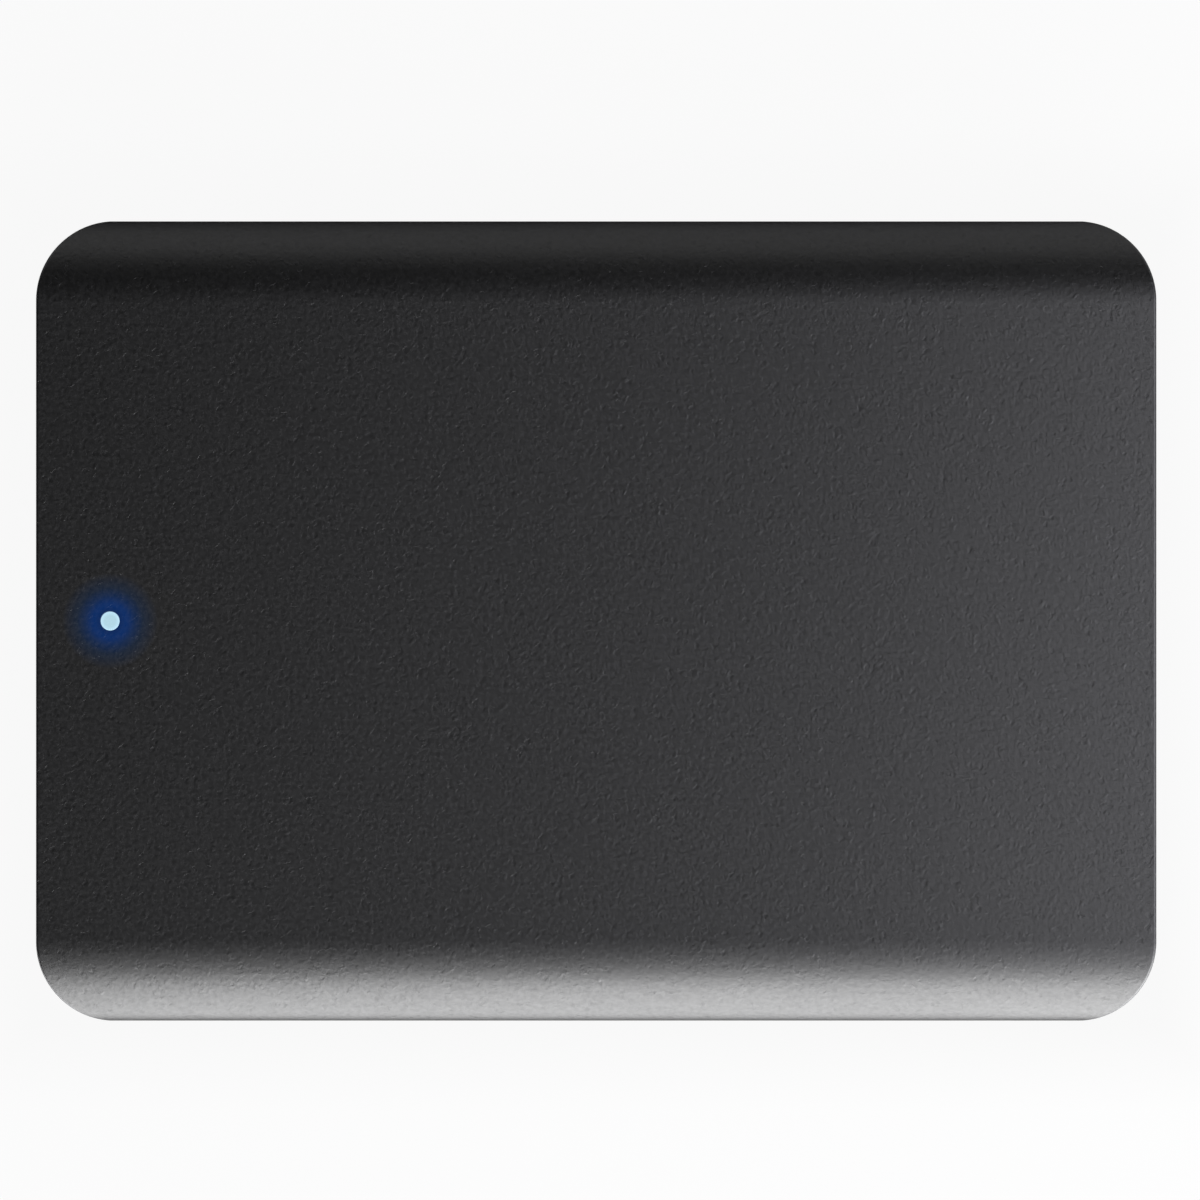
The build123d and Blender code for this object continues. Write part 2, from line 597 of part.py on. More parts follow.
def make_bumper(end, side):
    """Soft block under and beside the drive, with a peg in its side hole."""
    x = SIDE_HOLE_PLACES[end]
    half = DRIVE_WIDTH / 2
    near, far = sorted((side * (half - BUMPER_FOOT), side * CASE_WIDTH))
    zone = block(x - BUMPER_LENGTH / 2, x + BUMPER_LENGTH / 2, near, far, 0, TRAY_RIM_Z)
    bumper = section_bar(TRAY_INSET + TRAY_WALL + BUMPER_FIT) & zone
    bumper -= block(DRIVE_FRONT, DRIVE_REAR, -half, half, DRIVE_BOTTOM, level(DRIVE_HEIGHT))
    peg = Cylinder(BUMPER_PEG_DIAMETER / 2, 2 * BUMPER_PEG_LENGTH, rotation=(90, 0, 0))
    return bumper + Pos(x, side * half, level(SIDE_HOLE_HEIGHT)) * peg


def make_foot(x, y):
    """Rubber foot set in its recess."""
    foot = rod(x, y, FOOT_DIAMETER, 0, FOOT_PROUD + FOOT_RECESS)
    return chamfer(foot.edges().sort_by(Axis.Z)[0], FOOT_CHAMFER)


def make_light_pipe():
    """Clear pipe with a flange under the sleeve's top wall."""
    bottom = BRIDGE_TOP + LIGHT_HEIGHT + PIPE_LIGHT_GAP
    stem = WINDOW_DIAMETER - 2 * PIPE_FIT
    flange = INNER_TOP - PIPE_FLANGE
    lower = ((0, bottom), (stem, bottom), (stem, flange), (PIPE_FLANGE_DIAMETER, flange))
    upper = ((PIPE_FLANGE_DIAMETER, INNER_TOP), (stem, INNER_TOP), (stem, CASE_TOP), (0, CASE_TOP))
    return turned(LIGHT_X, 0, *lower, *upper)


def make_bridge_board():
    """Narrow board behind the port, cut out round the USB socket."""
    outline = field(BRIDGE_FRONT, SOCKET_BACK, BRIDGE_HALF_WIDTH)
    half = PORT_HALF + SHELL_THICKNESS + PORT_FIT
    outline -= Pos(0, PORT_OFFSET) * field(BRIDGE_FRONT - OVERCUT, SHELL_BACK + PORT_FIT, half)
    for y in (-BRIDGE_SCREW_OFFSET, BRIDGE_SCREW_OFFSET):
        outline -= Pos(BRIDGE_X, y) * Circle(BRIDGE_SCREW_DIAMETER / 2 + THREAD_GAP)
    return plate(outline, BRIDGE_BOTTOM, BRIDGE_TOP)


def screw(x, y, head, head_end, seat, shank, tip):
    """Screw with a flat head between two heights and a plain shank to its tip."""
    return turned(x, y, (0, head_end), (head, head_end), (head, seat), (shank, seat), (shank, tip), (0, tip))


def make_bridge_screws():
    """Pan head screws of the bridge board."""
    sizes = (BRIDGE_HEAD_DIAMETER, BRIDGE_TOP + BRIDGE_HEAD, BRIDGE_TOP, BRIDGE_SCREW_DIAMETER)
    tip = BRIDGE_TOP - BRIDGE_SCREW_LENGTH
    places = (-BRIDGE_SCREW_OFFSET, BRIDGE_SCREW_OFFSET)
    return Compound(children=[screw(BRIDGE_X, y, *sizes, tip) for y in places])


def bridge_part(y, length, width):
    """Low package on top of the bridge board."""
    return plate(Pos(BRIDGE_X, y) * Rectangle(width, length), BRIDGE_TOP, BRIDGE_TOP + BRIDGE_PART_HEIGHT)


def make_usb_shell():
    """Folded metal shell with two solder tabs on the board."""
    outline = port_outline()
    skin = offset(outline, SHELL_THICKNESS, kind=Kind.INTERSECTION)
    shell = extrude(port_plane(PORT_FACE) * skin, amount=SHELL_LENGTH)
    shell -= extrude(port_plane(PORT_FACE) * outline, amount=SHELL_LENGTH - SHELL_THICKNESS)
    tab_x = PORT_FACE + SHELL_TAB_SETBACK
    for side in (-1, 1):
        inner = PORT_OFFSET + side * (PORT_HALF + SHELL_THICKNESS / 2)
        outer = PORT_OFFSET + side * (PORT_HALF + SHELL_THICKNESS + PORT_FIT + SHELL_TAB_WIDTH)
        near, far = sorted((inner, outer))
        shell += block(tab_x, tab_x + SHELL_TAB_LENGTH, near, far, BRIDGE_TOP, BRIDGE_TOP + SHELL_THICKNESS)
    return shell


def make_usb_insulator():
    """Moulded body at the back of the shell with one tongue for each part of the port."""
    outline = offset(port_outline(), -INSULATOR_FIT, kind=Kind.INTERSECTION)
    body = extrude(port_plane(INSULATOR_FRONT) * outline, amount=INSULATOR_BACK)
    low = INSULATOR_TOP - INSULATOR_THICKNESS
    tip = INSULATOR_FRONT - INSULATOR_TONGUE
    for centre, width in ((MAIN_CENTRE, MAIN_TONGUE_WIDTH), (SIDE_CENTRE, SIDE_TONGUE_WIDTH)):
        y = PORT_OFFSET + centre
        body += block(tip, INSULATOR_FRONT + INSULATOR_FIT, y - width / 2, y + width / 2, low, INSULATOR_TOP)
    return body


def make_usb_contacts():
    """Ten flat contacts under the two tongues."""
    top = INSULATOR_TOP - INSULATOR_THICKNESS
    x = INSULATOR_FRONT - CONTACT_LENGTH / 2
    seat = (Align.CENTER, Align.CENTER, Align.MAX)
    strip = Box(CONTACT_LENGTH, CONTACT_WIDTH, CONTACT_THICKNESS, align=seat)
    row = GridLocations(CONTACT_PITCH, CONTACT_PITCH, 1, CONTACT_COUNT)
    middles = (MAIN_CENTRE, SIDE_CENTRE)
    return Compound(children=[Pos(x, PORT_OFFSET + y, top) * place * strip for y in middles for place in row])


def tongues(grow):
    """Keyed contact tongues of the drive plug, grown all round for the socket's slots."""
    start = PLUG_OFFSET - (POWER_TONGUE + TONGUE_SPLIT + SIGNAL_TONGUE) / 2
    power_end = start + POWER_TONGUE
    signal_start = power_end + TONGUE_SPLIT
    root = PLUG_BACK_X - PLUG_BACK
    tip = root - TONGUE_LENGTH - grow
    top = TONGUE_THICKNESS / 2 + grow
    shape = Part()
    for foot, end in ((start, power_end), (signal_start + SIGNAL_TONGUE, signal_start)):
        inward = 1 if foot > end else -1
        outer, inner = foot + inward * grow, end - inward * grow
        key = end + inward * (KEY_WIDTH + grow)
        step = -top - KEY_HEIGHT
        corners = ((outer, top), (inner, top), (inner, step), (key, step), (key, -top), (outer, -top))
        profile = make_face(Polyline(*corners, close=True))
        plane = Plane((tip, 0, TONGUE_Z), x_dir=(0, 1, 0), z_dir=(1, 0, 0))
        shape += extrude(plane * profile, amount=root - tip)
    return shape


def make_sata_plug():
    """Plug of the drive: back wall, end posts and two keyed tongues."""
    half = PLUG_WIDTH / 2
    front = DRIVE_FRONT + BOARD_REST
    outline = field(front, PLUG_BACK_X, half)
    outline -= field(front - OVERCUT, PLUG_BACK_X - PLUG_BACK, half - PLUG_END_POST)
    body = plate(Pos(0, PLUG_OFFSET) * outline, level(BOARD_TOP), level(BASE_TOP - PLUG_HEADROOM - PLUG_FIT))
    return body + tongues(0)


def make_sata_socket():
    """Socket on the edge of the bridge board, its nose inside the drive plug."""
    half = PLUG_WIDTH / 2
    outline = field(SOCKET_BACK, SOCKET_BACK + SOCKET_FLANGE, half)
    outline += field(SOCKET_BACK, DRIVE_FRONT + SOCKET_NOSE, half - PLUG_END_POST - SOCKET_SIDE)
    low, high = TONGUE_Z - SOCKET_HALF_HEIGHT, TONGUE_Z + SOCKET_HALF_HEIGHT
    return plate(Pos(0, PLUG_OFFSET) * outline, low, high) - tongues(TONGUE_FIT)


def cavity_outline(grow):
    """Plan of the sealed space: shroud circle and actuator bay, narrow beside the side holes."""
    rear = BAY_REAR + grow
    narrow_end = SIDE_HOLE_PLACES["port"] + SIDE_BOSS_REACH - grow
    outline = Pos(SPINDLE_X, 0) * Circle(SHROUD_RADIUS + grow)
    outline += field(narrow_end, rear, SHROUD_RADIUS + grow)
    return outline + field(BAY_FRONT - grow, rear, BAY_SIDE + grow)


def cover_screw_places():
    """Places of the screws round the cover."""
    y = DRIVE_WIDTH / 2 - CORNER_SCREW_INSET
    reach = SHROUD_RADIUS + GASKET_MARGIN + GASKET_WIDTH + SCREW_SEAL_GAP + COVER_HEAD_DIAMETER / 2
    front, rear = DRIVE_FRONT + CORNER_SCREW_INSET, DRIVE_REAR - CORNER_SCREW_INSET
    along = (front, SPINDLE_X - sqrt(reach ** 2 - y ** 2), rear)
    return [(x, side * y) for x in along for side in (-1, 1)]


def board_screw_places():
    """Places of the controller board's screws."""
    y = DRIVE_WIDTH / 2 - BOARD_SIDE_MARGIN - BOARD_SCREW_INSET
    along = (PLUG_BACK_X + BOARD_SCREW_INSET, DRIVE_FRONT + BOARD_LENGTH - BOARD_SCREW_INSET)
    return [(x, side * y) for x in along for side in (-1, 1)]


def board_outline(grow):
    """Plan of the controller board, narrower where it carries the plug."""
    rear = DRIVE_FRONT + BOARD_LENGTH + grow
    outline = field(PLUG_BACK_X - grow, rear, DRIVE_WIDTH / 2 - BOARD_SIDE_MARGIN + grow)
    front = DRIVE_FRONT + BOARD_REST - grow
    return outline + Pos(0, PLUG_OFFSET) * field(front, rear, PLUG_WIDTH / 2 + grow)


def make_drive_base():
    """Cast base with shroud, actuator bay, motor recess, board bay and plug opening."""
    outline = RectangleRounded(DRIVE_LENGTH, DRIVE_WIDTH, BASE_CORNER)
    base = plate(Pos((DRIVE_FRONT + DRIVE_REAR) / 2, 0) * outline, level(0), level(BASE_TOP))
    base -= plate(cavity_outline(0), level(DECK_TOP), level(BASE_TOP) + OVERCUT)
    base -= rod(SPINDLE_X, 0, MOTOR_RECESS_DIAMETER, level(MOTOR_FLOOR), level(DECK_TOP) + OVERCUT)
    base -= rod(SPINDLE_X, 0, BEARING_DIAMETER + 2 * PRESS_GAP, level(-OVERCUT), level(DECK_TOP))
    base -= plate(board_outline(BOARD_GAP), level(-OVERCUT), level(BOARD_BAY))
    mouth = field(DRIVE_FRONT - OVERCUT, PLUG_BACK_X + PLUG_FIT, PLUG_WIDTH / 2 + PLUG_FIT)
    base -= plate(Pos(0, PLUG_OFFSET) * mouth, level(-OVERCUT), level(BASE_TOP - PLUG_HEADROOM))
    thread_end = level(COVER_BOTTOM - COVER_SCREW_LENGTH - THREAD_GAP)
    for x, y in cover_screw_places():
        base -= rod(x, y, COVER_SCREW_DIAMETER + 2 * THREAD_GAP, thread_end, level(BASE_TOP) + OVERCUT)
    for x, y in board_screw_places():
        top = level(BOARD_BAY + BOARD_SCREW_GRIP + THREAD_GAP)
        base -= rod(x, y, BOARD_SCREW_DIAMETER + 2 * THREAD_GAP, level(0), top)
    hole = Cylinder(SIDE_HOLE_DIAMETER / 2, 2 * SIDE_HOLE_DEPTH, rotation=(90, 0, 0))
    for x in SIDE_HOLE_PLACES.values():
        for side in (-1, 1):
            base -= Pos(x, side * DRIVE_WIDTH / 2, level(SIDE_HOLE_HEIGHT)) * hole
    return base


def make_drive_cover():
    """Stamped cover: a flange with screw seats and a raised panel over the sealed space."""
    length, width = DRIVE_LENGTH - 2 * COVER_EDGE, DRIVE_WIDTH - 2 * COVER_EDGE
    flange = RectangleRounded(length, width, BASE_CORNER - COVER_EDGE)
    cover = plate(Pos((DRIVE_FRONT + DRIVE_REAR) / 2, 0) * flange, level(COVER_BOTTOM), level(FLANGE_TOP))
    cover += plate(cavity_outline(COVER_PANEL_MARGIN), level(COVER_BOTTOM), level(DRIVE_HEIGHT))
    for x, y in cover_screw_places():
        cover -= rod(x, y, COVER_SCREW_DIAMETER + 2 * THREAD_GAP, level(COVER_BOTTOM), level(DRIVE_HEIGHT))
    return cover


def make_cover_screws():
    """Flat head screws on the cover's flange."""
    sizes = (COVER_HEAD_DIAMETER, level(FLANGE_TOP + COVER_HEAD), level(FLANGE_TOP), COVER_SCREW_DIAMETER)
    tip = level(COVER_BOTTOM - COVER_SCREW_LENGTH)
    return Compound(children=[screw(x, y, *sizes, tip) for x, y in cover_screw_places()])


def make_cover_gasket():
    """Seal round the cavity, between base and cover."""
    seal = cavity_outline(GASKET_MARGIN + GASKET_WIDTH) - cavity_outline(GASKET_MARGIN)
    return plate(seal, level(BASE_TOP), level(COVER_BOTTOM))


def make_bearing_sleeve():
    """Bearing sleeve pressed into the base."""
    bore = SHAFT_DIAMETER + 2 * RUNNING_GAP
    return ring(SPINDLE_X, 0, BEARING_DIAMETER, bore, level(0), level(BEARING_TOP))


def make_spindle_shaft():
    """Shaft pressed into the hub, tapped for the clamp screw."""
    low, high = level(MOTOR_FLOOR), level(DISK_TOP)
    tap = CLAMP_SCREW_DIAMETER + 2 * THREAD_GAP
    tap_end = high - CLAMP_SCREW_LENGTH - THREAD_GAP
    outside = ((0, low), (SHAFT_DIAMETER, low), (SHAFT_DIAMETER, high))
    return turned(SPINDLE_X, 0, *outside, (tap, high), (tap, tap_end), (0, tap_end))


def make_spindle_hub():
    """Turned hub: platter spigot, flange and magnet skirt."""
    bore = SHAFT_DIAMETER + 2 * PRESS_GAP
    spigot = PLATTER_BORE - 2 * RUNNING_GAP
    skirt = SKIRT_INNER + 2 * SKIRT
    seat, under, bottom, top = level(DISK_BOTTOM), level(FLANGE_BOTTOM), level(SKIRT_BOTTOM), level(DISK_TOP)
    outside = ((spigot, top), (spigot, seat), (HUB_FLANGE_DIAMETER, seat), (HUB_FLANGE_DIAMETER, under))
    inside = ((skirt, under), (skirt, bottom), (SKIRT_INNER, bottom), (SKIRT_INNER, under))
    return turned(SPINDLE_X, 0, (bore, top), *outside, *inside, (bore, under))


def make_rotor_magnet():
    """Ring magnet inside the hub skirt."""
    inner = STATOR_DIAMETER + 2 * AIR_GAP
    return ring(SPINDLE_X, 0, MAGNET_OUTER, inner, level(SKIRT_BOTTOM), level(FLANGE_BOTTOM))


def make_stator_core():
    """Laminated core with one shoe at the end of each tooth."""
    radius = STATOR_DIAMETER / 2
    outline = Circle(STATOR_CORE_RADIUS)
    tooth = field(0, radius - SHOE_DEPTH / 2, TOOTH_WIDTH / 2)
    tooth += ring_sector(radius - SHOE_DEPTH, radius, -SHOE_ANGLE / 2, SHOE_ANGLE / 2)
    for place in PolarLocations(0, STATOR_TEETH):
        outline += place * tooth
    outline -= Circle(BEARING_DIAMETER / 2 + PRESS_GAP)
    return plate(Pos(SPINDLE_X, 0) * outline, level(STATOR_BOTTOM), level(STATOR_TOP))


def make_stator_coils():
    """One winding round each stator tooth."""
    start = STATOR_CORE_RADIUS + AIR_GAP
    end = STATOR_DIAMETER / 2 - SHOE_DEPTH - AIR_GAP
    half = TOOTH_WIDTH / 2 + PRESS_GAP
    height = STATOR_TOP - STATOR_BOTTOM + 2 * PRESS_GAP
    loop = Rectangle(2 * (half + COIL_BUILD), height + 2 * COIL_BUILD) - Rectangle(2 * half, height)
    middle = level((STATOR_BOTTOM + STATOR_TOP) / 2)
    winding = extrude(Plane((start, 0, middle), x_dir=(0, 1, 0), z_dir=(1, 0, 0)) * loop, amount=end - start)
    places = PolarLocations(0, STATOR_TEETH)
    return Compound(children=[Pos(SPINDLE_X, 0) * place * winding for place in places])


def make_platter():
    """Disk."""
    return ring(SPINDLE_X, 0, PLATTER_DIAMETER, PLATTER_BORE, level(DISK_BOTTOM), level(DISK_TOP))


def make_disk_clamp():
    """Clamp plate that bears on the disk with its rim, dished round the screw."""
    bore = CLAMP_SCREW_DIAMETER + 2 * THREAD_GAP
    low, high = level(DISK_TOP), level(CLAMP_TOP)
    dish = CLAMP_RELIEF_DIAMETER
    rim = ((bore, low), (CLAMP_DIAMETER, low), (CLAMP_DIAMETER, high), (dish, high))
    return turned(SPINDLE_X, 0, *rim, (dish, high - CLAMP_RELIEF), (bore, high - CLAMP_RELIEF))


def make_clamp_screw():
    """Screw through the clamp into the shaft."""
    seat = CLAMP_TOP - CLAMP_RELIEF
    sizes = (CLAMP_HEAD_DIAMETER, level(seat + CLAMP_HEAD), level(seat), CLAMP_SCREW_DIAMETER)
    return screw(SPINDLE_X, 0, *sizes, level(DISK_TOP - CLAMP_SCREW_LENGTH))


def coil_outline():
    """Outer outline of the voice coil, in the arm's own frame."""
    start, end = COIL_ANGLE - COIL_HALF_ANGLE, COIL_ANGLE + COIL_HALF_ANGLE
    return soft_sector(COIL_INNER, COIL_OUTER, start, end, COIL_CORNER)


def make_arm_block():
    """Arm block: pivot ring, two tapered arms and the fork that holds the coil."""
    hub = Circle(ARM_HUB_DIAMETER / 2)
    arm = make_hull((hub + Pos(ARM_TIP_REACH, 0) * Circle(ARM_TIP_RADIUS)).edges())
    window_ends = Pos(ARM_WINDOW_START, 0) * Circle(ARM_WINDOW_RADIUS)
    window_ends += Pos(ARM_WINDOW_END, 0) * Circle(ARM_WINDOW_RADIUS / 2)
    arm -= make_hull(window_ends.edges())
    start, end = COIL_ANGLE - FORK_HALF_ANGLE, COIL_ANGLE + FORK_HALF_ANGLE
    fork = ring_sector(CARTRIDGE_DIAMETER / 2, FORK_REACH, start, end)
    fork -= offset(coil_outline(), COIL_FIT)
    shape = plate(ARM_FRAME * hub, level(LOWER_ARM), level(ARM_TOP))
    shape += plate(ARM_FRAME * arm, level(LOWER_ARM), level(LOWER_BLADE))
    shape += plate(ARM_FRAME * arm, level(UPPER_ARM), level(ARM_TOP))
    shape += plate(ARM_FRAME * fork, level(COIL_BOTTOM), level(COIL_TOP))
    bore = CARTRIDGE_DIAMETER + 2 * PRESS_GAP
    return shape - rod(PIVOT_X, PIVOT_Y, bore, level(LOWER_ARM), level(ARM_TOP))


def make_voice_coil():
    """Flat wound coil between the magnets."""
    outline = coil_outline()
    winding = outline - offset(outline, -COIL_BAND, kind=Kind.INTERSECTION)
    return plate(ARM_FRAME * winding, level(COIL_BOTTOM), level(COIL_TOP))


def make_pivot_post():
    """Fixed post between deck and cover."""
    return rod(PIVOT_X, PIVOT_Y, PIVOT_POST_DIAMETER, level(DECK_TOP), level(COVER_BOTTOM))


def make_pivot_cartridge():
    """Bearing cartridge that turns on the post."""
    bore = PIVOT_POST_DIAMETER + 2 * RUNNING_GAP
    return ring(PIVOT_X, PIVOT_Y, CARTRIDGE_DIAMETER, bore, level(LOWER_ARM), level(ARM_TOP))


def make_suspensions():
    """Two thin spring blades that carry the heads, each with its lift tab."""
    ends = Pos(BLADE_ROOT_REACH, 0) * Circle(BLADE_ROOT_RADIUS)
    ends += Pos(TAB_TIP_REACH, 0) * Circle(BLADE_TIP_RADIUS)
    blade = ARM_FRAME * make_hull(ends.edges())
    lows = (LOWER_BLADE, UPPER_ARM - BLADE_THICKNESS)
    return Compound(children=[plate(blade, level(low), level(low + BLADE_THICKNESS)) for low in lows])


def make_head_sliders():
    """Two head sliders, one on each side of the disk."""
    outline = ARM_FRAME * (Pos(HEAD_REACH, 0) * Rectangle(SLIDER_LENGTH, SLIDER_WIDTH))
    lows = (LOWER_BLADE + BLADE_THICKNESS, UPPER_ARM - BLADE_THICKNESS - SLIDER_HEIGHT)
    return Compound(children=[plate(outline, level(low), level(low + SLIDER_HEIGHT)) for low in lows])


def yoke_outline():
    """Plan of the voice coil yokes."""
    start = COIL_START - POST_MARGIN - YOKE_MARGIN_ANGLE
    end = COIL_END + POST_MARGIN + YOKE_MARGIN_ANGLE
    return PIVOT_FRAME * soft_sector(YOKE_INNER, YOKE_OUTER, start, end, YOKE_CORNER)


def post_places():
    """Places of the two posts that carry the upper yoke."""
    return [around_pivot(POST_REACH, a) for a in (COIL_START - POST_MARGIN, COIL_END + POST_MARGIN)]


def make_lower_yoke():
    """Lower yoke with the two posts."""
    yoke = plate(yoke_outline(), level(DECK_TOP), level(LOWER_MAGNET))
    for x, y in post_places():
        yoke += rod(x, y, POST_DIAMETER, level(DECK_TOP), level(UPPER_YOKE))
    return yoke


def make_upper_yoke():
    """Upper yoke on the posts."""
    return plate(yoke_outline(), level(UPPER_YOKE), level(UPPER_YOKE + YOKE_THICKNESS))


def make_yoke_magnet(bottom):
    """Flat magnet on a yoke."""
    inner, outer = YOKE_INNER + MAGNET_INSET, YOKE_OUTER - MAGNET_INSET
    start, end = COIL_START - MAGNET_HALF_ANGLE, COIL_END + MAGNET_HALF_ANGLE
    outline = PIVOT_FRAME * soft_sector(inner, outer, start, end, MAGNET_CORNER)
    return plate(outline, level(bottom), level(bottom + MAGNET_THICKNESS))


def make_crash_stops():
    """Soft rings on the yoke posts."""
    bore = POST_DIAMETER + 2 * PRESS_GAP
    low, high = level(COIL_BOTTOM), level(COIL_TOP)
    return Compound(children=[ring(x, y, STOP_DIAMETER, bore, low, high) for x, y in post_places()])


def make_load_ramp():
    """Ramp that the lift tabs rest on, with its pillar on the deck."""
    fin = ring_sector(TAB_TIP_REACH - RAMP_WIDTH / 2, PILLAR_OUTER, RAMP_START, RAMP_END)
    low = LOWER_BLADE + BLADE_THICKNESS + RAMP_GAP
    high = UPPER_ARM - BLADE_THICKNESS - RAMP_GAP
    pillar = ring_sector(RAMP_OUTER, PILLAR_OUTER, RAMP_START, RAMP_END)
    ramp = plate(PIVOT_FRAME * fin, level(low), level(high))
    return ramp + plate(PIVOT_FRAME * pillar, level(DECK_TOP), level(ARM_TOP))


def make_air_filter():
    """Pleated recirculating filter in the corner of the bay."""
    pitch = FILTER_LENGTH / FILTER_PLEATS
    front = [(i * pitch / 2, FILTER_PLEAT_DEPTH * (i % 2)) for i in range(2 * FILTER_PLEATS + 1)]
    back = [(x, y + FILTER_WIDTH - FILTER_PLEAT_DEPTH) for x, y in reversed(front)]
    cloth = make_face(Polyline(*front, *back, close=True))
    x = BAY_REAR - CORNER_GAP - FILTER_LENGTH
    y = SHROUD_RADIUS - CORNER_GAP - FILTER_WIDTH
    return plate(Pos(x, y) * cloth, level(DECK_TOP), level(DECK_TOP + FILTER_HEIGHT))


def make_desiccant():
    """Drying block in the other corner of the bay."""
    x = BAY_FRONT + CORNER_GAP
    y = -BAY_SIDE + CORNER_GAP
    low = level(DECK_TOP)
    return block(x, x + DESICCANT_LENGTH, y, y + DESICCANT_WIDTH, low, low + DESICCANT_HEIGHT)


FLEX_X = BAY_FRONT + FLEX_INSET + FLEX_CONNECTOR_LENGTH / 2
FLEX_Y = PIVOT_Y - FLEX_DROP + FLEX_CONNECTOR_WIDTH / 2


def make_flex_connector():
    """Connector block of the flexible circuit."""
    outline = Pos(FLEX_X, FLEX_Y) * Rectangle(FLEX_CONNECTOR_LENGTH, FLEX_CONNECTOR_WIDTH)
    return plate(outline, level(DECK_TOP), level(DECK_TOP + FLEX_CONNECTOR_HEIGHT))


def make_head_flex():
    """Flexible circuit from the connector to the arm block."""
    end = around_pivot(ARM_HUB_DIAMETER / 2 + FLEX_THICKNESS, COIL_END + FLEX_ROOT_ANGLE)
    bow = ((FLEX_X + end[0]) / 2 - FLEX_BOW, (FLEX_Y + end[1]) / 2)
    ribbon = trace(ThreePointArc((FLEX_X, FLEX_Y), bow, end), FLEX_THICKNESS)
    low = level(DECK_TOP + FLEX_CONNECTOR_HEIGHT)
    return plate(ribbon, low, low + FLEX_HEIGHT)


def make_controller_board():
    """Controller board under the actuator bay."""
    outline = board_outline(0)
    for x, y in board_screw_places():
        outline -= Pos(x, y) * Circle(BOARD_SCREW_DIAMETER / 2 + THREAD_GAP)
    return plate(outline, level(BOARD_REST), level(BOARD_TOP))


def make_board_screws():
    """Screws of the controller board, heads under it."""
    sizes = (BOARD_HEAD_DIAMETER, level(0), level(BOARD_REST), BOARD_SCREW_DIAMETER)
    tip = level(BOARD_BAY + BOARD_SCREW_GRIP)
    return Compound(children=[screw(x, y, *sizes, tip) for x, y in board_screw_places()])


def controller_chip(y, length, width):
    """Low package on top of the controller board."""
    place = Pos(DRIVE_FRONT + CHIP_ROW, y)
    return plate(place * Rectangle(length, width), level(BOARD_TOP), level(BOARD_TOP + CHIP_HEIGHT))


def make_top_foam_pad():
    """Foam between the drive's cover and the sleeve."""
    outline = RectangleRounded(TOP_PAD_LENGTH, TOP_PAD_WIDTH, TOP_PAD_CORNER)
    return plate(outline, level(DRIVE_HEIGHT), INNER_TOP)


def make_rear_foam_strip():
    """Foam between the drive and the rear cap."""
    outline = field(DRIVE_REAR, CAP_INNER, REAR_PAD_LENGTH / 2)
    return plate(outline, MID_Z - REAR_PAD_HEIGHT / 2, MID_Z + REAR_PAD_HEIGHT / 2)


def make_status_light():
    """Small lamp on the bridge board, under the light pipe."""
    outline = Pos(LIGHT_X, 0) * Rectangle(LIGHT_WIDTH, LIGHT_LENGTH)
    return plate(outline, BRIDGE_TOP, BRIDGE_TOP + LIGHT_HEIGHT)


pieces = {
    "sleeve": make_sleeve(),
    "port_end_cap": make_port_cap(),
    "rear_end_cap": make_cap(1),
    "drive_tray": make_tray(),
    "top_foam_pad": make_top_foam_pad(),
    "rear_foam_strip": make_rear_foam_strip(),
    "light_pipe": make_light_pipe(),
    "bridge_board": make_bridge_board(),
    "bridge_screws": make_bridge_screws(),
    "bridge_chip": bridge_part(BRIDGE_CHIP_OFFSET, BRIDGE_CHIP_SIZE, BRIDGE_CHIP_SIZE),
    "crystal": bridge_part(CRYSTAL_OFFSET, CRYSTAL_LENGTH, CRYSTAL_WIDTH),
    "status_light": make_status_light(),
    "sata_socket": make_sata_socket(),
    "usb_shell": make_usb_shell(),
    "usb_insulator": make_usb_insulator(),
    "usb_contacts": make_usb_contacts(),
    "drive_base": make_drive_base(),
    "drive_cover": make_drive_cover(),
    "cover_gasket": make_cover_gasket(),
    "cover_screws": make_cover_screws(),
    "bearing_sleeve": make_bearing_sleeve(),
    "stator_core": make_stator_core(),
    "stator_coils": make_stator_coils(),
    "spindle_shaft": make_spindle_shaft(),
    "spindle_hub": make_spindle_hub(),
    "rotor_magnet": make_rotor_magnet(),
    "platter": make_platter(),
    "disk_clamp": make_disk_clamp(),
    "clamp_screw": make_clamp_screw(),
    "pivot_post": make_pivot_post(),
    "pivot_cartridge": make_pivot_cartridge(),
    "arm_block": make_arm_block(),
    "voice_coil": make_voice_coil(),
    "suspensions": make_suspensions(),
    "head_sliders": make_head_sliders(),
    "lower_yoke": make_lower_yoke(),
    "upper_yoke": make_upper_yoke(),
    "lower_magnet": make_yoke_magnet(LOWER_MAGNET),
    "upper_magnet": make_yoke_magnet(UPPER_MAGNET),
    "crash_stops": make_crash_stops(),
    "load_ramp": make_load_ramp(),
    "air_filter": make_air_filter(),
    "desiccant": make_desiccant(),
    "flex_connector": make_flex_connector(),
    "head_flex": make_head_flex(),
    "controller_board": make_controller_board(),
    "board_screws": make_board_screws(),
    "processor_chip": controller_chip(0, PROCESSOR_SIZE, PROCESSOR_SIZE),
    "driver_chip": controller_chip(CHIP_SPACING, DRIVER_SIZE, DRIVER_SIZE),
    "cache_chip": controller_chip(-CHIP_SPACING, CACHE_LENGTH, CACHE_WIDTH),
    "sata_plug": make_sata_plug(),
}
for end in SIDE_HOLE_PLACES:
    for side_name, side in (("left", 1), ("right", -1)):
        pieces[f"bumper_{end}_{side_name}"] = make_bumper(end, side)
for foot_name, foot_x, foot_y in foot_places():
    pieces[foot_name] = make_foot(foot_x, foot_y)

os.makedirs("parts", exist_ok=True)
for name, shape in pieces.items():
    export_step(shape, os.path.join("parts", name + ".step"))
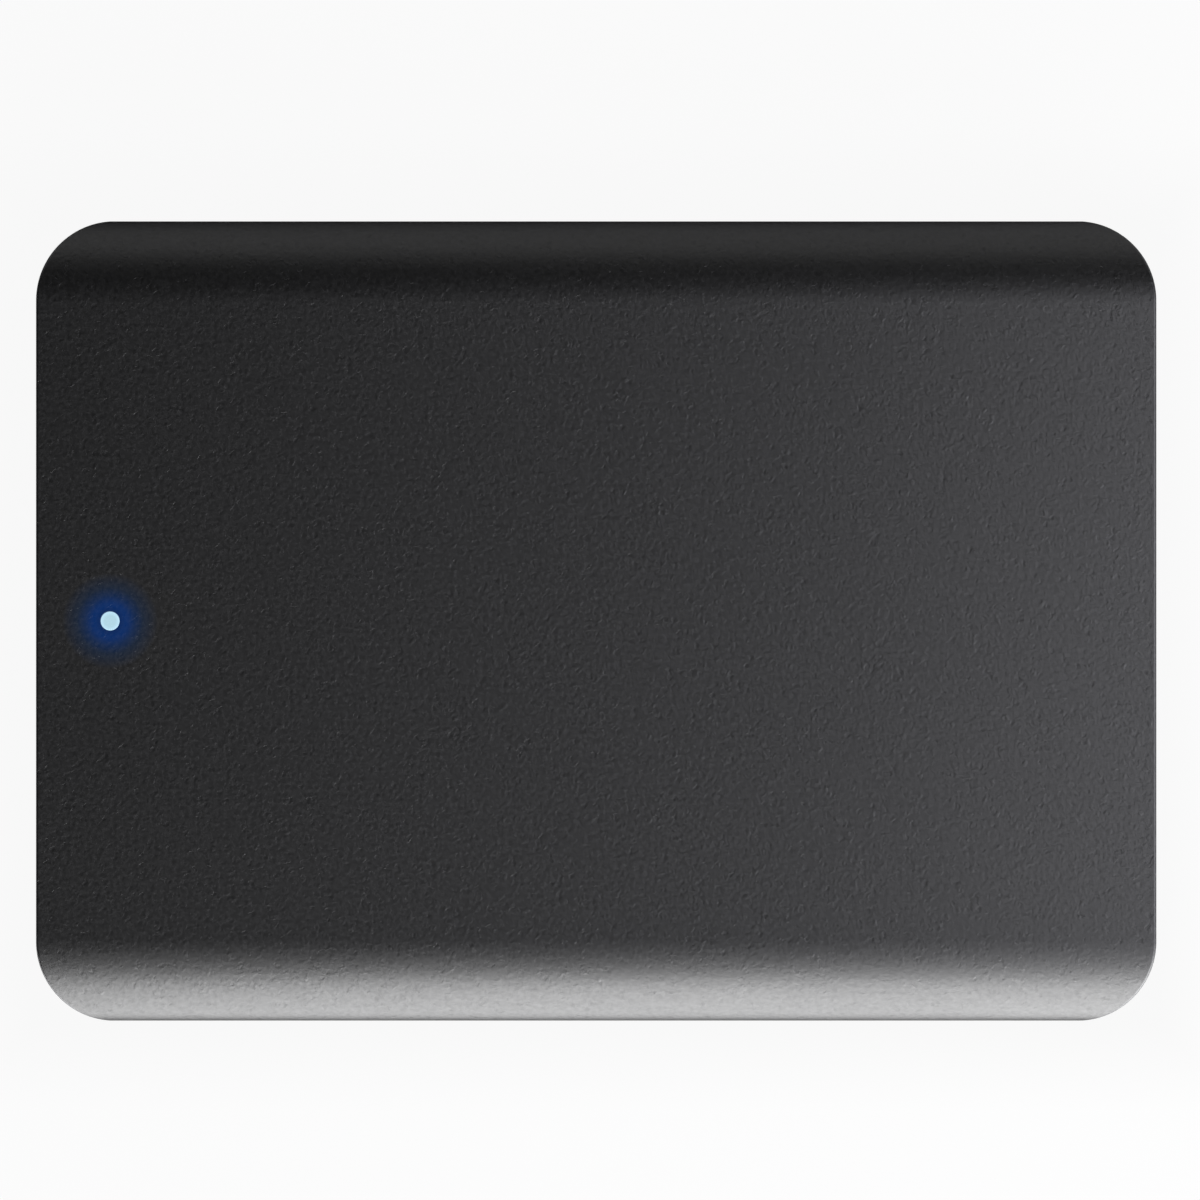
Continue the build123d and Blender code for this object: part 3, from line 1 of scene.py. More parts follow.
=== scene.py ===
import json
import logging
import math
import random
from abc import ABC, abstractmethod
from collections.abc import Sequence
from dataclasses import dataclass, field, replace
from enum import Enum

import bmesh
import bpy
from mathutils import Matrix, Vector
from mathutils.geometry import tessellate_polygon


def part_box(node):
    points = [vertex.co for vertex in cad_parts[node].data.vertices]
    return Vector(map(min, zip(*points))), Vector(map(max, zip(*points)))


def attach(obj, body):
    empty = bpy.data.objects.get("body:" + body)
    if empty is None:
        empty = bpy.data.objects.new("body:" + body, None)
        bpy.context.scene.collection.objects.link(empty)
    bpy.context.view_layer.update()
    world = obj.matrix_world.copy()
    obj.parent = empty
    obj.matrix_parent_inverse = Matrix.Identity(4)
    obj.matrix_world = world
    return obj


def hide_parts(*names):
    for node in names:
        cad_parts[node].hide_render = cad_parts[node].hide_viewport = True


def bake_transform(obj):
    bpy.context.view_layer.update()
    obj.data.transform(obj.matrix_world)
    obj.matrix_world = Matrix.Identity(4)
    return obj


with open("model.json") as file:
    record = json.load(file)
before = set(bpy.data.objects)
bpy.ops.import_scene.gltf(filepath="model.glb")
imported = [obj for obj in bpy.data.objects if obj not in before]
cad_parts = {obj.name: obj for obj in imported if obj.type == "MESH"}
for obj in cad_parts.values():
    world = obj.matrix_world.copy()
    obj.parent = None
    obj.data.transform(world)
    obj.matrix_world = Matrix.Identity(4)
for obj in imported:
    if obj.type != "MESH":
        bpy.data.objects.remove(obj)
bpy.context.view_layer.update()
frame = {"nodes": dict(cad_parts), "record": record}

Colour = tuple[float, float, float]
Triple = tuple[float, float, float]
Pair = tuple[float, float]
Box = tuple[Vector, Vector]
Socket = bpy.types.NodeSocket
Feed = Socket | float | str | Sequence[float] | bpy.types.Material

MM = 0.001
WHITE = (1.0, 1.0, 1.0)
FLAT = (1.0, 1.0, 0.0)
UNIT = (0.0, 1.0)
TURNED_ROUND = (1.0, 0.0)
EDGE_TURNS = (90.0, 60.0, 30.0, 0.0)
MERGED_WITHIN = 0.001 * MM
LEVEL_WITHIN = math.radians(0.3)
SHARP_FROM = math.radians(28.0)
FEET = ("foot_port_left", "foot_port_right", "foot_rear_left", "foot_rear_right")
log = logging.getLogger("portable_drive")


class Body(Enum):
    """Moving bodies of the drive."""

    CASE = "case"
    DISK_PACK = "disk_pack"
    HEAD_STACK = "head_stack"


class Grain(Enum):
    """Kinds of surface texture."""

    BLASTED = "blasted"
    MOULDED = "moulded"
    BRUSHED = "brushed"
    TURNED = "turned"
    FOAMED = "foamed"
    WOVEN = "woven"
    STACKED = "stacked"
    POLISHED = "polished"


class NodeBench:
    """Node tree under construction."""

    def __init__(self, tree: bpy.types.NodeTree) -> None:
        """Take a tree to work on."""
        self.tree = tree

    def add(
        self, kind: str, feeds: dict[str | int, Feed] | None = None, **settings: object
    ) -> bpy.types.Node:
        """Add a node.

        Args:
            kind: Blender's name of the node type.
            feeds: what goes into its inputs, by their name or number: an output to link or a constant.
            settings: properties of the node.

        Returns:
            The new node.
        """
        node = self.tree.nodes.new(kind)
        for name, value in settings.items():
            setattr(node, name, value)
        for key, feed in (feeds or {}).items():
            if isinstance(feed, Socket):
                self.join(feed, node.inputs[key])
            else:
                node.inputs[key].default_value = feed
        return node

    def join(self, source: Socket, target: Socket) -> None:
        """Link an output to an input."""
        self.tree.links.new(source, target)

    def combine(self, operation: str, first: Socket, second: Feed = 0.0) -> Socket:
        """Arithmetic on two values.

        Args:
            operation: Blender's name of the operation.
            first: first value.
            second: second value or a number, which an operation on one value leaves unread.

        Returns:
            The result.
        """
        return self.add("ShaderNodeMath", {0: first, 1: second}, operation=operation).outputs["Value"]


class Paint(NodeBench):
    """Node tree of one material, with a method for each step of a finish."""

    wave_scale = math.pi / 10.0
    brushed_stretch = (0.03, 1.0, 1.0)
    pit_rise = (0.55, 0.8)
    pit_sink = (0.2, 0.45)
    pit_dome = (0.1, 0.8)
    pit_ragged = (0.4, 0.6)
    pit_ragged_size = 0.7

    def __init__(self, name: str) -> None:
        """Start a material with one surface shader.

        Args:
            name: name of the material.
        """
        self.material = bpy.data.materials.new(name)
        self.material.use_nodes = True
        super().__init__(self.material.node_tree)
        self.tree.nodes.clear()
        self.surface = self.add("ShaderNodeBsdfPrincipled")
        self.output = self.add("ShaderNodeOutputMaterial", {"Surface": self.surface.outputs["BSDF"]})
        self.place = self.add("ShaderNodeTexCoord").outputs["Object"]

    def set(self, **values: object) -> None:
        """Write constants on the surface shader; underscores in a name stand for spaces."""
        for name, value in values.items():
            socket = self.surface.inputs[name.replace("_", " ")]
            socket.default_value = (*value, 1.0) if isinstance(value, tuple) else value

    def mapped(self, scale: Triple, centre: Triple = (0.0, 0.0, 0.0)) -> Socket:
        """Object coordinates about a centre, stretched.

        Args:
            scale: factor along each axis.
            centre: point in metres that becomes the origin.

        Returns:
            The vector output.
        """
        shift = [-middle * factor for middle, factor in zip(centre, scale)]
        feeds = {"Vector": self.place, "Location": shift, "Scale": scale}
        return self.add("ShaderNodeMapping", feeds, vector_type="POINT").outputs["Vector"]

    def noise(self, size_mm: float, detail: float = 2.0, vector: Socket | None = None) -> Socket:
        """Soft random pattern.

        Args:
            size_mm: size of its patches.
            detail: number of finer layers.
            vector: coordinates, the object's own where none are given.

        Returns:
            The factor output.
        """
        feeds = {"Scale": 1.0 / (size_mm * MM), "Detail": detail, "Vector": vector or self.place}
        return self.add("ShaderNodeTexNoise", feeds).outputs["Fac"]

    def cells(self, size_mm: float, metric: str = "EUCLIDEAN") -> bpy.types.Node:
        """Random cells of a size, round or square by their metric."""
        feeds = {"Scale": 1.0 / (size_mm * MM), "Vector": self.place}
        return self.add("ShaderNodeTexVoronoi", feeds, distance=metric)

    def pits(self, size_mm: float) -> Socket:
        """Scattered bumps and pits: the ragged middles of some random cells.

        Args:
            size_mm: size of the cells.

        Returns:
            The height, from -1 in a pit to 1 on a bump.
        """
        cells = self.cells(size_mm)
        rise = self.spread(cells.outputs["Color"], self.pit_rise, UNIT)
        sink = self.spread(cells.outputs["Color"], self.pit_sink, (-1.0, 0.0))
        dome = self.spread(cells.outputs["Distance"], self.pit_dome, TURNED_ROUND)
        torn = self.spread(self.noise(self.pit_ragged_size * size_mm, 0.0), self.pit_ragged, UNIT)
        ragged = self.combine("MULTIPLY", dome, torn)
        return self.combine("MULTIPLY", ragged, self.combine("ADD", rise, sink))

    def waves(
        self, pitch_mm: float, direction: str, rings: bool = False, vector: Socket | None = None
    ) -> Socket:
        """Even waves, straight or in rings.

        Args:
            pitch_mm: distance from crest to crest.
            direction: X, Y or Z, the way that the waves run or the axis of the rings.
            rings: whether they are rings.
            vector: coordinates, the object's own where none are given.

        Returns:
            The factor output.
        """
        kind, way = ("RINGS", "rings_direction") if rings else ("BANDS", "bands_direction")
        settings = {"wave_type": kind, "wave_profile": "SIN", way: direction}
        scale = self.wave_scale / (pitch_mm * MM)
        feeds = {"Scale": scale, "Distortion": 0.0, "Vector": vector or self.place}
        return self.add("ShaderNodeTexWave", feeds, **settings).outputs["Fac"]

    def spread(self, source: Socket, before: Pair, after: Pair) -> Socket:
        """Map a pattern from one range to another, held at its ends.

        Args:
            source: pattern.
            before: range that is read.
            after: range that is given.

        Returns:
            The mapped value.
        """
        feeds = dict(zip(("From Min", "From Max", "To Min", "To Max"), (*before, *after)))
        return self.add("ShaderNodeMapRange", {"Value": source, **feeds}, clamp=True).outputs["Result"]

    def mix(self, factor: Socket, first: Colour | Socket, second: Colour | Socket) -> Socket:
        """Blend two colours.

        Args:
            factor: share of the second.
            first: first colour.
            second: second colour.

        Returns:
            The colour output.
        """
        node = self.add("ShaderNodeMix", {"Factor": factor}, data_type="RGBA")
        for socket, colour in zip(node.inputs[6:8], (first, second)):
            if isinstance(colour, Socket):
                self.join(colour, socket)
            else:
                socket.default_value = (*colour, 1.0)
        return node.outputs[2]

    def ramp(self, source: Socket, stops: Sequence[tuple[float, Colour]]) -> Socket:
        """Colours along a pattern.

        Args:
            source: pattern from 0 to 1.
            stops: places and their colours.

        Returns:
            The colour output.
        """
        node = self.add("ShaderNodeValToRGB", {"Fac": source})
        elements = node.color_ramp.elements
        elements[0].position, elements[1].position = stops[0][0], stops[-1][0]
        for place, _ in stops[1:-1]:
            elements.new(place)
        for element, (_, colour) in zip(elements, stops):
            element.color = (*colour, 1.0)
        return node.outputs["Color"]

    def bump(self, height: Socket, depth_mm: float) -> None:
        """Raise the surface by a pattern, on top of any bump it has.

        Args:
            height: pattern from 0 to 1.
            depth_mm: height of its crests.
        """
        target = self.surface.inputs["Normal"]
        feeds = {"Distance": depth_mm * MM, "Height": height}
        if target.links:
            feeds["Normal"] = target.links[0].from_socket
        self.join(self.add("ShaderNodeBump", feeds).outputs["Normal"], target)

    def grain(self, kind: Grain, size_mm: float, centre: Pair) -> Socket:
        """Height pattern of a surface texture.

        Args:
            kind: texture.
            size_mm: size of its grain.
            centre: axis of turned rings, in metres.

        Returns:
            The height output.
        """
        if kind is Grain.BRUSHED:
            return self.noise(size_mm, 3.0, self.mapped(self.brushed_stretch))
        if kind is Grain.TURNED:
            return self.waves(size_mm, "Z", True, self.mapped(FLAT, (*centre, 0.0)))
        if kind is Grain.FOAMED:
            return self.cells(size_mm).outputs["Distance"]
        if kind is Grain.WOVEN:
            return self.combine("MULTIPLY", self.waves(size_mm, "X"), self.waves(size_mm, "Z"))
        if kind is Grain.STACKED:
            return self.waves(size_mm, "Z")
        return self.noise(size_mm, 3.0 if kind is Grain.MOULDED else 1.0)


@dataclass(frozen=True)
class Finish:
    """A finish of one material slot: mottled colour, roughness range and a grain in relief."""

    slot: str
    colour: Colour
    patch: Colour
    grain: Grain
    grain_mm: float
    depth_mm: float
    roughness: Pair
    metallic: float = 0.0
    coat: float = 0.0
    patch_mm: float = 4.0
    patch_range: Pair = (0.35, 0.65)
    wear_range: Pair = (0.0, 0.6)
    centre: Pair = (0.0, 0.0)
    variant: str = ""

    def key(self) -> str:
        """Name under which the finish hangs in the wardrobe."""
        return self.variant or self.slot

    def wear(self, paint: Paint, patches: Socket, height: Socket) -> Socket:
        """Roughness of the surface, higher on the crests of worn patches.

        Args:
            paint: paint of the finish.
            patches: pattern of the patches.
            height: pattern of the grain.

        Returns:
            The roughness.
        """
        return paint.spread(paint.combine("MULTIPLY", patches, height), self.wear_range, self.roughness)

    def begin(self) -> Paint:
        """Paint with what every finish has.

        Returns:
            The paint, for further steps.
        """
        paint = Paint(self.key())
        paint.set(Metallic=self.metallic, Coat_Weight=self.coat)
        patches = paint.spread(paint.noise(self.patch_mm), self.patch_range, UNIT)
        paint.join(paint.mix(patches, self.colour, self.patch), paint.surface.inputs["Base Color"])
        height = paint.grain(self.grain, self.grain_mm, self.centre)
        paint.join(self.wear(paint, patches, height), paint.surface.inputs["Roughness"])
        paint.bump(height, self.depth_mm)
        return paint

    def build(self) -> bpy.types.Material:
        """Make the material."""
        return self.begin().material


@dataclass(frozen=True)
class SleeveFinish(Finish):
    """Black anodised finish with scattered pits whose hollows carry painted shade, lighter rounded end edges,
    and a painted glow with a darker blue painted halo round the lit window.
    """

    window: Triple = (0.0, 0.0, 0.0)
    # painted glow: emission on the sleeve round the lit window, in place of the window's light falling on it
    painted_glow_mm: float = 5.0
    glow: tuple[tuple[float, Colour], ...] = (
        (0.20, (0.0, 0.016, 0.094)),
        (0.30, (0.0, 0.021, 0.118)),
        (0.36, (0.0, 0.020, 0.112)),
        (0.50, (0.0, 0.013, 0.060)),
        (0.66, (0.0, 0.007, 0.024)),
        (0.96, (0.0, 0.0, 0.0)),
    )
    # painted halo: darker blue base colour near the window, under the painted glow
    painted_halo_base: Colour = (0.0286, 0.0364, 0.0442)
    painted_halo_range: Pair = (0.3, 0.9)
    # lighter colour of the rounded end edges
    edge_colour: Colour = (0.117, 0.117, 0.12)
    low_angle: Colour = (0.48, 0.48, 0.48)
    speckle_mm: float = 0.42
    speckle_detail: float = 1.5
    speckle_range: Pair = (0.3, 0.7)
    pit_mm: float = 0.64
    pit_depth_mm: float = 0.016
    # painted shade: colour of the hollows of the pits
    painted_pit_shade: Colour = (0.078, 0.078, 0.0785)

    def wear(self, paint: Paint, patches: Socket, height: Socket) -> Socket:
        """Roughness in fine speckles, whatever the patches and the grain.

        Args:
            paint: paint of the finish.
            patches: pattern of the patches, which is not used.
            height: pattern of the grain, which is not used.

        Returns:
            The roughness.
        """
        speckles = paint.noise(self.speckle_mm, self.speckle_detail)
        return paint.spread(speckles, self.speckle_range, self.roughness)

    def build(self) -> bpy.types.Material:
        """Make the material.

        Returns:
            The material, with the painted glow round the window.
        """
        paint = self.begin()
        inputs = paint.surface.inputs
        pits = paint.pits(self.pit_mm)
        paint.bump(pits, self.pit_depth_mm)
        # painted shade in the pits: the colour darkens towards the bottom of each pit
        sunk = paint.spread(pits, (-1.0, 0.0), TURNED_ROUND)
        colour = paint.mix(sunk, inputs["Base Color"].links[0].from_socket, self.painted_pit_shade)
        # lighter colour on the rounded end edges, by the share that the mesh carries
        edge = paint.add("ShaderNodeAttribute", attribute_name="edge").outputs["Fac"]
        colour = paint.mix(edge, colour, self.edge_colour)
        # painted halo round the window: a darker blue base colour near it and a painted glow in emission
        away = paint.add("ShaderNodeVectorMath", {0: paint.place, 1: self.window}, operation="DISTANCE")
        far = paint.spread(away.outputs["Value"], (0.0, self.painted_glow_mm * MM), UNIT)
        near = paint.spread(far, self.painted_halo_range, TURNED_ROUND)
        paint.join(paint.mix(near, colour, self.painted_halo_base), inputs["Base Color"])
        paint.join(paint.ramp(far, self.glow), inputs["Emission Color"])
        paint.set(Emission_Strength=1.0, Specular_Tint=self.low_angle)
        return paint.material


@dataclass(frozen=True)
class LitFinish(Finish):
    """Clear plastic lit from below, a little brighter at its rim."""

    glow: Colour = (0.325, 0.50, 0.575)
    rim: Colour = (0.42, 0.64, 0.78)
    rim_mm: Pair = (0.57, 0.95)

    def build(self) -> bpy.types.Material:
        """Make the material.

        Returns:
            The material, which gives light.
        """
        paint = self.begin()
        flat = paint.mapped(FLAT, (*self.centre, 0.0))
        away = paint.add("ShaderNodeVectorMath", {0: flat}, operation="LENGTH")
        ring = paint.spread(away.outputs["Value"], tuple(radius * MM for radius in self.rim_mm), UNIT)
        paint.join(paint.mix(ring, self.glow, self.rim), paint.surface.inputs["Emission Color"])
        paint.set(Emission_Strength=1.0)
        return paint.material


@dataclass(frozen=True)
class BoardFinish(Finish):
    """Solder mask over copper tracks, which show as lighter lines in fields of two directions."""

    track: Colour = (0.03, 0.17, 0.075)
    track_mm: float = 0.55
    track_depth_mm: float = 0.02
    track_range: Pair = (0.55, 0.7)
    field_mm: float = 5.0
    field_range: Pair = (0.48, 0.52)

    def build(self) -> bpy.types.Material:
        """Make the material.

        Returns:
            The material, with its tracks in colour and relief.
        """
        paint = self.begin()
        base = paint.surface.inputs["Base Color"]
        fields = paint.cells(self.field_mm, "CHEBYCHEV").outputs["Color"]
        pick = paint.spread(fields, self.field_range, UNIT)
        shares = (pick, paint.spread(pick, UNIT, TURNED_ROUND))
        lines = [paint.spread(paint.waves(self.track_mm, way), self.track_range, UNIT) for way in "XY"]
        tracks = paint.combine("ADD", *(paint.combine("MULTIPLY", *pair) for pair in zip(lines, shares)))
        paint.join(paint.mix(tracks, base.links[0].from_socket, self.track), base)
        paint.bump(tracks, self.track_depth_mm)
        return paint.material


class Skin:
    """Points, normals and faces of a mesh under construction, in metres."""

    def __init__(self) -> None:
        """Start an empty mesh."""
        self.points: list[Vector] = []
        self.normals: list[Vector] = []
        self.edges: list[float] = []
        self.faces: list[list[int]] = []

    def point(self, place: Vector, normal: Vector, edge: float = 0.0) -> int:
        """Add a point.

        Args:
            place: where it is.
            normal: way that the surface faces there.
            edge: 1 on a rounded edge that the finish colours lighter, 0 elsewhere.

        Returns:
            The point's number.
        """
        self.points.append(place)
        self.normals.append(normal.normalized())
        self.edges.append(edge)
        return len(self.points) - 1

    def circle(self, centre: Vector, radius: float, steps: int, lean: float) -> list[int]:
        """Add a level circle of points.

        Args:
            centre: middle of the circle.
            radius: its radius.
            steps: number of points.
            lean: angle of the normals above the outward direction, in degrees.

        Returns:
            The points' numbers.
        """
        rise, out = math.sin(math.radians(lean)), math.cos(math.radians(lean))
        numbers = []
        for step in range(steps):
            turn = 2 * math.pi * step / steps
            ray = Vector((math.cos(turn), math.sin(turn), 0.0))
            numbers.append(self.point(centre + radius * ray, out * ray + Vector((0, 0, rise))))
        return numbers

    def wavy(
        self, centre: Vector, radius: float, wave: float, lobes: int, steps: int, lean: float
    ) -> list[int]:
        """Add a level ring of points with lobes.

        Args:
            centre: middle of the ring.
            radius: its mean radius.
            wave: share of the radius by which the lobes stand out.
            lobes: number of lobes.
            steps: number of points.
            lean: angle of the normals above the outward direction, in degrees.

        Returns:
            The points' numbers.
        """
        numbers = self.circle(centre, radius, steps, lean)
        for step, number in enumerate(numbers):
            grow = 1 + wave * math.cos(2 * math.pi * lobes * step / steps)
            self.points[number] = centre + grow * (self.points[number] - centre)
        return numbers

    def lathe(self, centre: Vector, profile: list[Pair], rounds: list[float], steps: int) -> None:
        """Turn an outline about an upright axis.

        Args:
            centre: point of the axis at height 0.
            profile: radii and heights, from the axis out and back to it with the solid on the left.
            rounds: rounding of each corner.
            steps: points round the axis.
        """
        rings = []
        for before, here, after, size in zip(profile, profile[1:], profile[2:], rounds[1:]):
            come = (Vector(here) - Vector(before)).normalized()
            leave = (Vector(after) - Vector(here)).normalized()
            for t in (0.0, 0.25, 0.5, 0.75, 1.0):
                spot = Vector(here) + size * (t ** 2 * leave - (1 - t) ** 2 * come)
                way = (1 - t) * come + t * leave
                lean = math.degrees(math.atan2(-way.x, way.y))
                rings.append(self.circle(centre + Vector((0, 0, spot.y)), spot.x, steps, lean))
        self.bridge(*rings)
        self.fill(rings[0])
        self.fill(rings[-1])

    def block(self, low: Vector, high: Vector) -> None:
        """Add a box with flat sides between two corners."""
        for axis in range(3):
            across, along = (axis + 1) % 3, (axis + 2) % 3
            for end, way in ((low, -1), (high, 1)):
                facing = Vector()
                facing[axis] = way
                face = []
                for first, second in ((low, low), (high, low), (high, high), (low, high)):
                    place = Vector()
                    place[axis], place[across], place[along] = end[axis], first[across], second[along]
                    face.append(self.point(place, facing))
                self.faces.append(face)

    def bridge(self, *rows: list[int]) -> None:
        """Join each closed row of points to the next one by quads."""
        for first, second in zip(rows, rows[1:]):
            for i in range(len(first)):
                j = (i + 1) % len(first)
                self.faces.append([first[i], first[j], second[j], second[i]])

    def fill(self, *loops: list[int]) -> None:
        """Close a flat outline, leaving the holes of the further loops open."""
        numbers = [n for loop in loops for n in loop]
        triangles = tessellate_polygon([[self.points[n] for n in loop] for loop in loops])
        self.faces += [[numbers[i] for i in triangle] for triangle in triangles]

    def make(self, name: str, sharp: bool = False) -> bpy.types.Object:
        """Make the object.

        Args:
            name: name of the piece.
            sharp: whether faces are flat instead of following the normals.

        Returns:
            The linked object.
        """
        for face in self.faces:
            a, b, c = (self.points[n] for n in face[:3])
            facing = sum((self.normals[n] for n in face), Vector())
            if (b - a).cross(c - a).dot(facing) < 0:
                face.reverse()
        mesh = bpy.data.meshes.new(name)
        mesh.from_pydata(self.points, [], self.faces)
        mesh.attributes.new("edge", "FLOAT", "POINT").data.foreach_set("value", self.edges)
        if not sharp:
            mesh.shade_smooth()
            mesh.normals_split_custom_set_from_vertices(self.normals)
        return linked(name, mesh)


class Graph(NodeBench):
    """Geometry node tree under construction, with named inputs for its sizes."""

    def __init__(self, name: str) -> None:
        """Start a tree that takes a mesh and gives geometry.

        Args:
            name: name of the tree.
        """
        super().__init__(bpy.data.node_groups.new(name, "GeometryNodeTree"))
        for way in ("INPUT", "OUTPUT"):
            self.tree.interface.new_socket("Geometry", in_out=way, socket_type="NodeSocketGeometry")
        self.source = self.add("NodeGroupInput")
        self.values: dict[str, object] = {}

    @property
    def start(self) -> Socket:
        """Mesh that the tree takes."""
        return self.source.outputs["Geometry"]

    def size(self, name: str, value: float | int | bpy.types.Object) -> Socket:
        """Add a named input.

        Args:
            name: name of the input.
            value: what the modifier sets it to.

        Returns:
            The socket that gives it inside the tree.
        """
        kinds = {int: "NodeSocketInt", float: "NodeSocketFloat", bpy.types.Object: "NodeSocketObject"}
        item = self.tree.interface.new_socket(name, in_out="INPUT", socket_type=kinds[type(value)])
        self.values[item.identifier] = value
        return self.source.outputs[name]

    def read(self, name: str) -> Socket:
        """Vector that each point carries under a name."""
        node = self.add("GeometryNodeInputNamedAttribute", {"Name": name}, data_type="FLOAT_VECTOR")
        return node.outputs["Attribute"]

    def along(self, way: Socket, amount: Socket) -> Socket:
        """Vector of a length in a direction."""
        feeds = {"Vector": way, "Scale": amount}
        return self.add("ShaderNodeVectorMath", feeds, operation="SCALE").outputs["Vector"]

    def curve(self) -> Socket:
        """Edges of the mesh that the tree takes, as curves."""
        return self.add("GeometryNodeMeshToCurve", {"Mesh": self.start}).outputs["Curve"]

    def close(self, geometry: Socket, material: bpy.types.Material) -> None:
        """End the tree with real geometry and a finish.

        Args:
            geometry: what the tree gives.
            material: its finish.
        """
        real = self.add("GeometryNodeRealizeInstances", {"Geometry": geometry}).outputs["Geometry"]
        dressed = self.add("GeometryNodeSetMaterial", {"Geometry": real, "Material": material})
        self.add("NodeGroupOutput", {"Geometry": dressed.outputs["Geometry"]})

    def run(self, name: str, start: bpy.types.Mesh) -> bpy.types.Object:
        """Run the tree on a mesh.

        Args:
            name: name of the piece.
            start: mesh that the tree takes.

        Returns:
            The piece, as a plain mesh.
        """
        carrier = linked(f"{name}_carrier", start)
        modifier = carrier.modifiers.new("tree", "NODES")
        modifier.node_group = self.tree
        for identifier, value in self.values.items():
            modifier[identifier] = value
        piece = linked(name, settled(carrier))
        carrier.modifiers.remove(modifier)
        bpy.data.objects.remove(carrier)
        return piece


class RowGraph(Graph):
    """Copies of one shape on places that carry their turn."""

    def __init__(self, name: str, shape: bpy.types.Object, material: bpy.types.Material) -> None:
        """Build the tree.

        Args:
            name: name of the tree.
            shape: what is copied.
            material: finish of the copies.
        """
        super().__init__(name)
        info = self.add("GeometryNodeObjectInfo", {"Object": self.size("Shape", shape)},
                        transform_space="ORIGINAL")
        turn = self.add("FunctionNodeEulerToRotation", {"Euler": self.read("turn")})
        row = self.add("GeometryNodeInstanceOnPoints", {
            "Points": self.start,
            "Instance": info.outputs["Geometry"],
            "Rotation": turn.outputs["Rotation"],
        })
        self.close(row.outputs["Instances"], material)


class WindingGraph(Graph):
    """Turns of wire: each loop is repeated in columns and rows, along two ways that its points carry."""

    wire_sides = 6

    def __init__(
        self, name: str, columns: int, rows: int, pitch: float, wire: float, material: bpy.types.Material
    ) -> None:
        """Build the tree.

        Args:
            name: name of the tree.
            columns: turns along the points' own "across".
            rows: turns along the points' own "outward".
            pitch: distance of the turns.
            wire: diameter of the wire.
            material: finish of the wire.
        """
        super().__init__(name)
        width, step = self.size("Columns", columns), self.size("Pitch", pitch)
        amount = self.combine("MULTIPLY", width, self.size("Rows", rows))
        copies = self.add("GeometryNodeDuplicateElements", {"Geometry": self.curve(), "Amount": amount},
                          domain="SPLINE")
        index = copies.outputs["Duplicate Index"]
        column = self.combine("MODULO", index, width)
        row = self.combine("FLOOR", self.combine("DIVIDE", index, width))
        ways = [self.along(self.read(way), self.combine("MULTIPLY", count, step))
                for way, count in (("across", column), ("outward", row))]
        shift = self.add("ShaderNodeVectorMath", dict(enumerate(ways)), operation="ADD")
        moved = self.add("GeometryNodeSetPosition", {
            "Geometry": copies.outputs["Geometry"],
            "Offset": shift.outputs["Vector"],
        })
        profile = self.add("GeometryNodeCurvePrimitiveCircle", {
            "Resolution": self.wire_sides,
            "Radius": self.size("Wire Radius", wire / 2),
        })
        tube = self.add("GeometryNodeCurveToMesh", {
            "Curve": moved.outputs["Geometry"],
            "Profile Curve": profile.outputs["Curve"],
        })
        smooth = self.add("GeometryNodeSetShadeSmooth", {"Geometry": tube.outputs["Mesh"]})
        self.close(smooth.outputs["Geometry"], material)


class RibbonGraph(Graph):
    """Flat strip that follows a path."""

    def __init__(self, name: str, width: float, height: float, material: bpy.types.Material) -> None:
        """Build the tree.

        Args:
            name: name of the tree.
            width: level width of the strip.
            height: upright height of the strip.
            material: its finish.
        """
        super().__init__(name)
        upright = self.add("GeometryNodeSetCurveNormal", {"Curve": self.curve()}, mode="Z_UP")
        profile = self.add("GeometryNodeCurvePrimitiveQuadrilateral", {
            "Width": self.size("Width", width),
            "Height": self.size("Height", height),
        })
        ribbon = self.add("GeometryNodeCurveToMesh", {
            "Curve": upright.outputs["Curve"],
            "Profile Curve": profile.outputs["Curve"],
            "Fill Caps": True,
        })
        self.close(ribbon.outputs["Mesh"], material)


def linked(name: str, mesh: bpy.types.Mesh) -> bpy.types.Object:
    """Put a mesh in the scene.

    Args:
        name: name of the object.
        mesh: its mesh.

    Returns:
        The object, at the origin.
    """
    piece = bpy.data.objects.new(name, mesh)
    bpy.context.scene.collection.objects.link(piece)
    return piece


def settled(piece: bpy.types.Object) -> bpy.types.Mesh:
    """Plain mesh of an object with its modifiers applied."""
    bpy.context.view_layer.update()
    graph = bpy.context.evaluated_depsgraph_get()
    return bpy.data.meshes.new_from_object(piece.evaluated_get(graph), depsgraph=graph)


def merged(node: str) -> bmesh.types.BMesh:
    """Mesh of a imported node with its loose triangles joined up."""
    shape = bmesh.new()
    shape.from_mesh(frame["nodes"][node].data)
    bmesh.ops.remove_doubles(shape, verts=shape.verts, dist=MERGED_WITHIN)
    return shape


def meshed(shape: bmesh.types.BMesh, name: str) -> bpy.types.Mesh:
    """Plain mesh of a shape, which is used up."""
    mesh = bpy.data.meshes.new(name)
    shape.to_mesh(mesh)
    shape.free()
    return mesh


def solids(node: str) -> list[Box]:
    """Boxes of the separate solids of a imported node.

    Args:
        node: name of the node.

    Returns:
        Lowest and highest corner of each solid, in metres.
    """
    shape = merged(node)
    left = set(shape.verts)
    boxes = []
    while left:
        group, queue = [], [left.pop()]
        while queue:
            vert = queue.pop()
            group.append(vert.co.copy())
            near = {edge.other_vert(vert) for edge in vert.link_edges} & left
            left -= near
            queue += near
        boxes.append((Vector(map(min, zip(*group))), Vector(map(max, zip(*group)))))
    shape.free()
    return sorted(boxes, key=lambda box: tuple(box[0]))


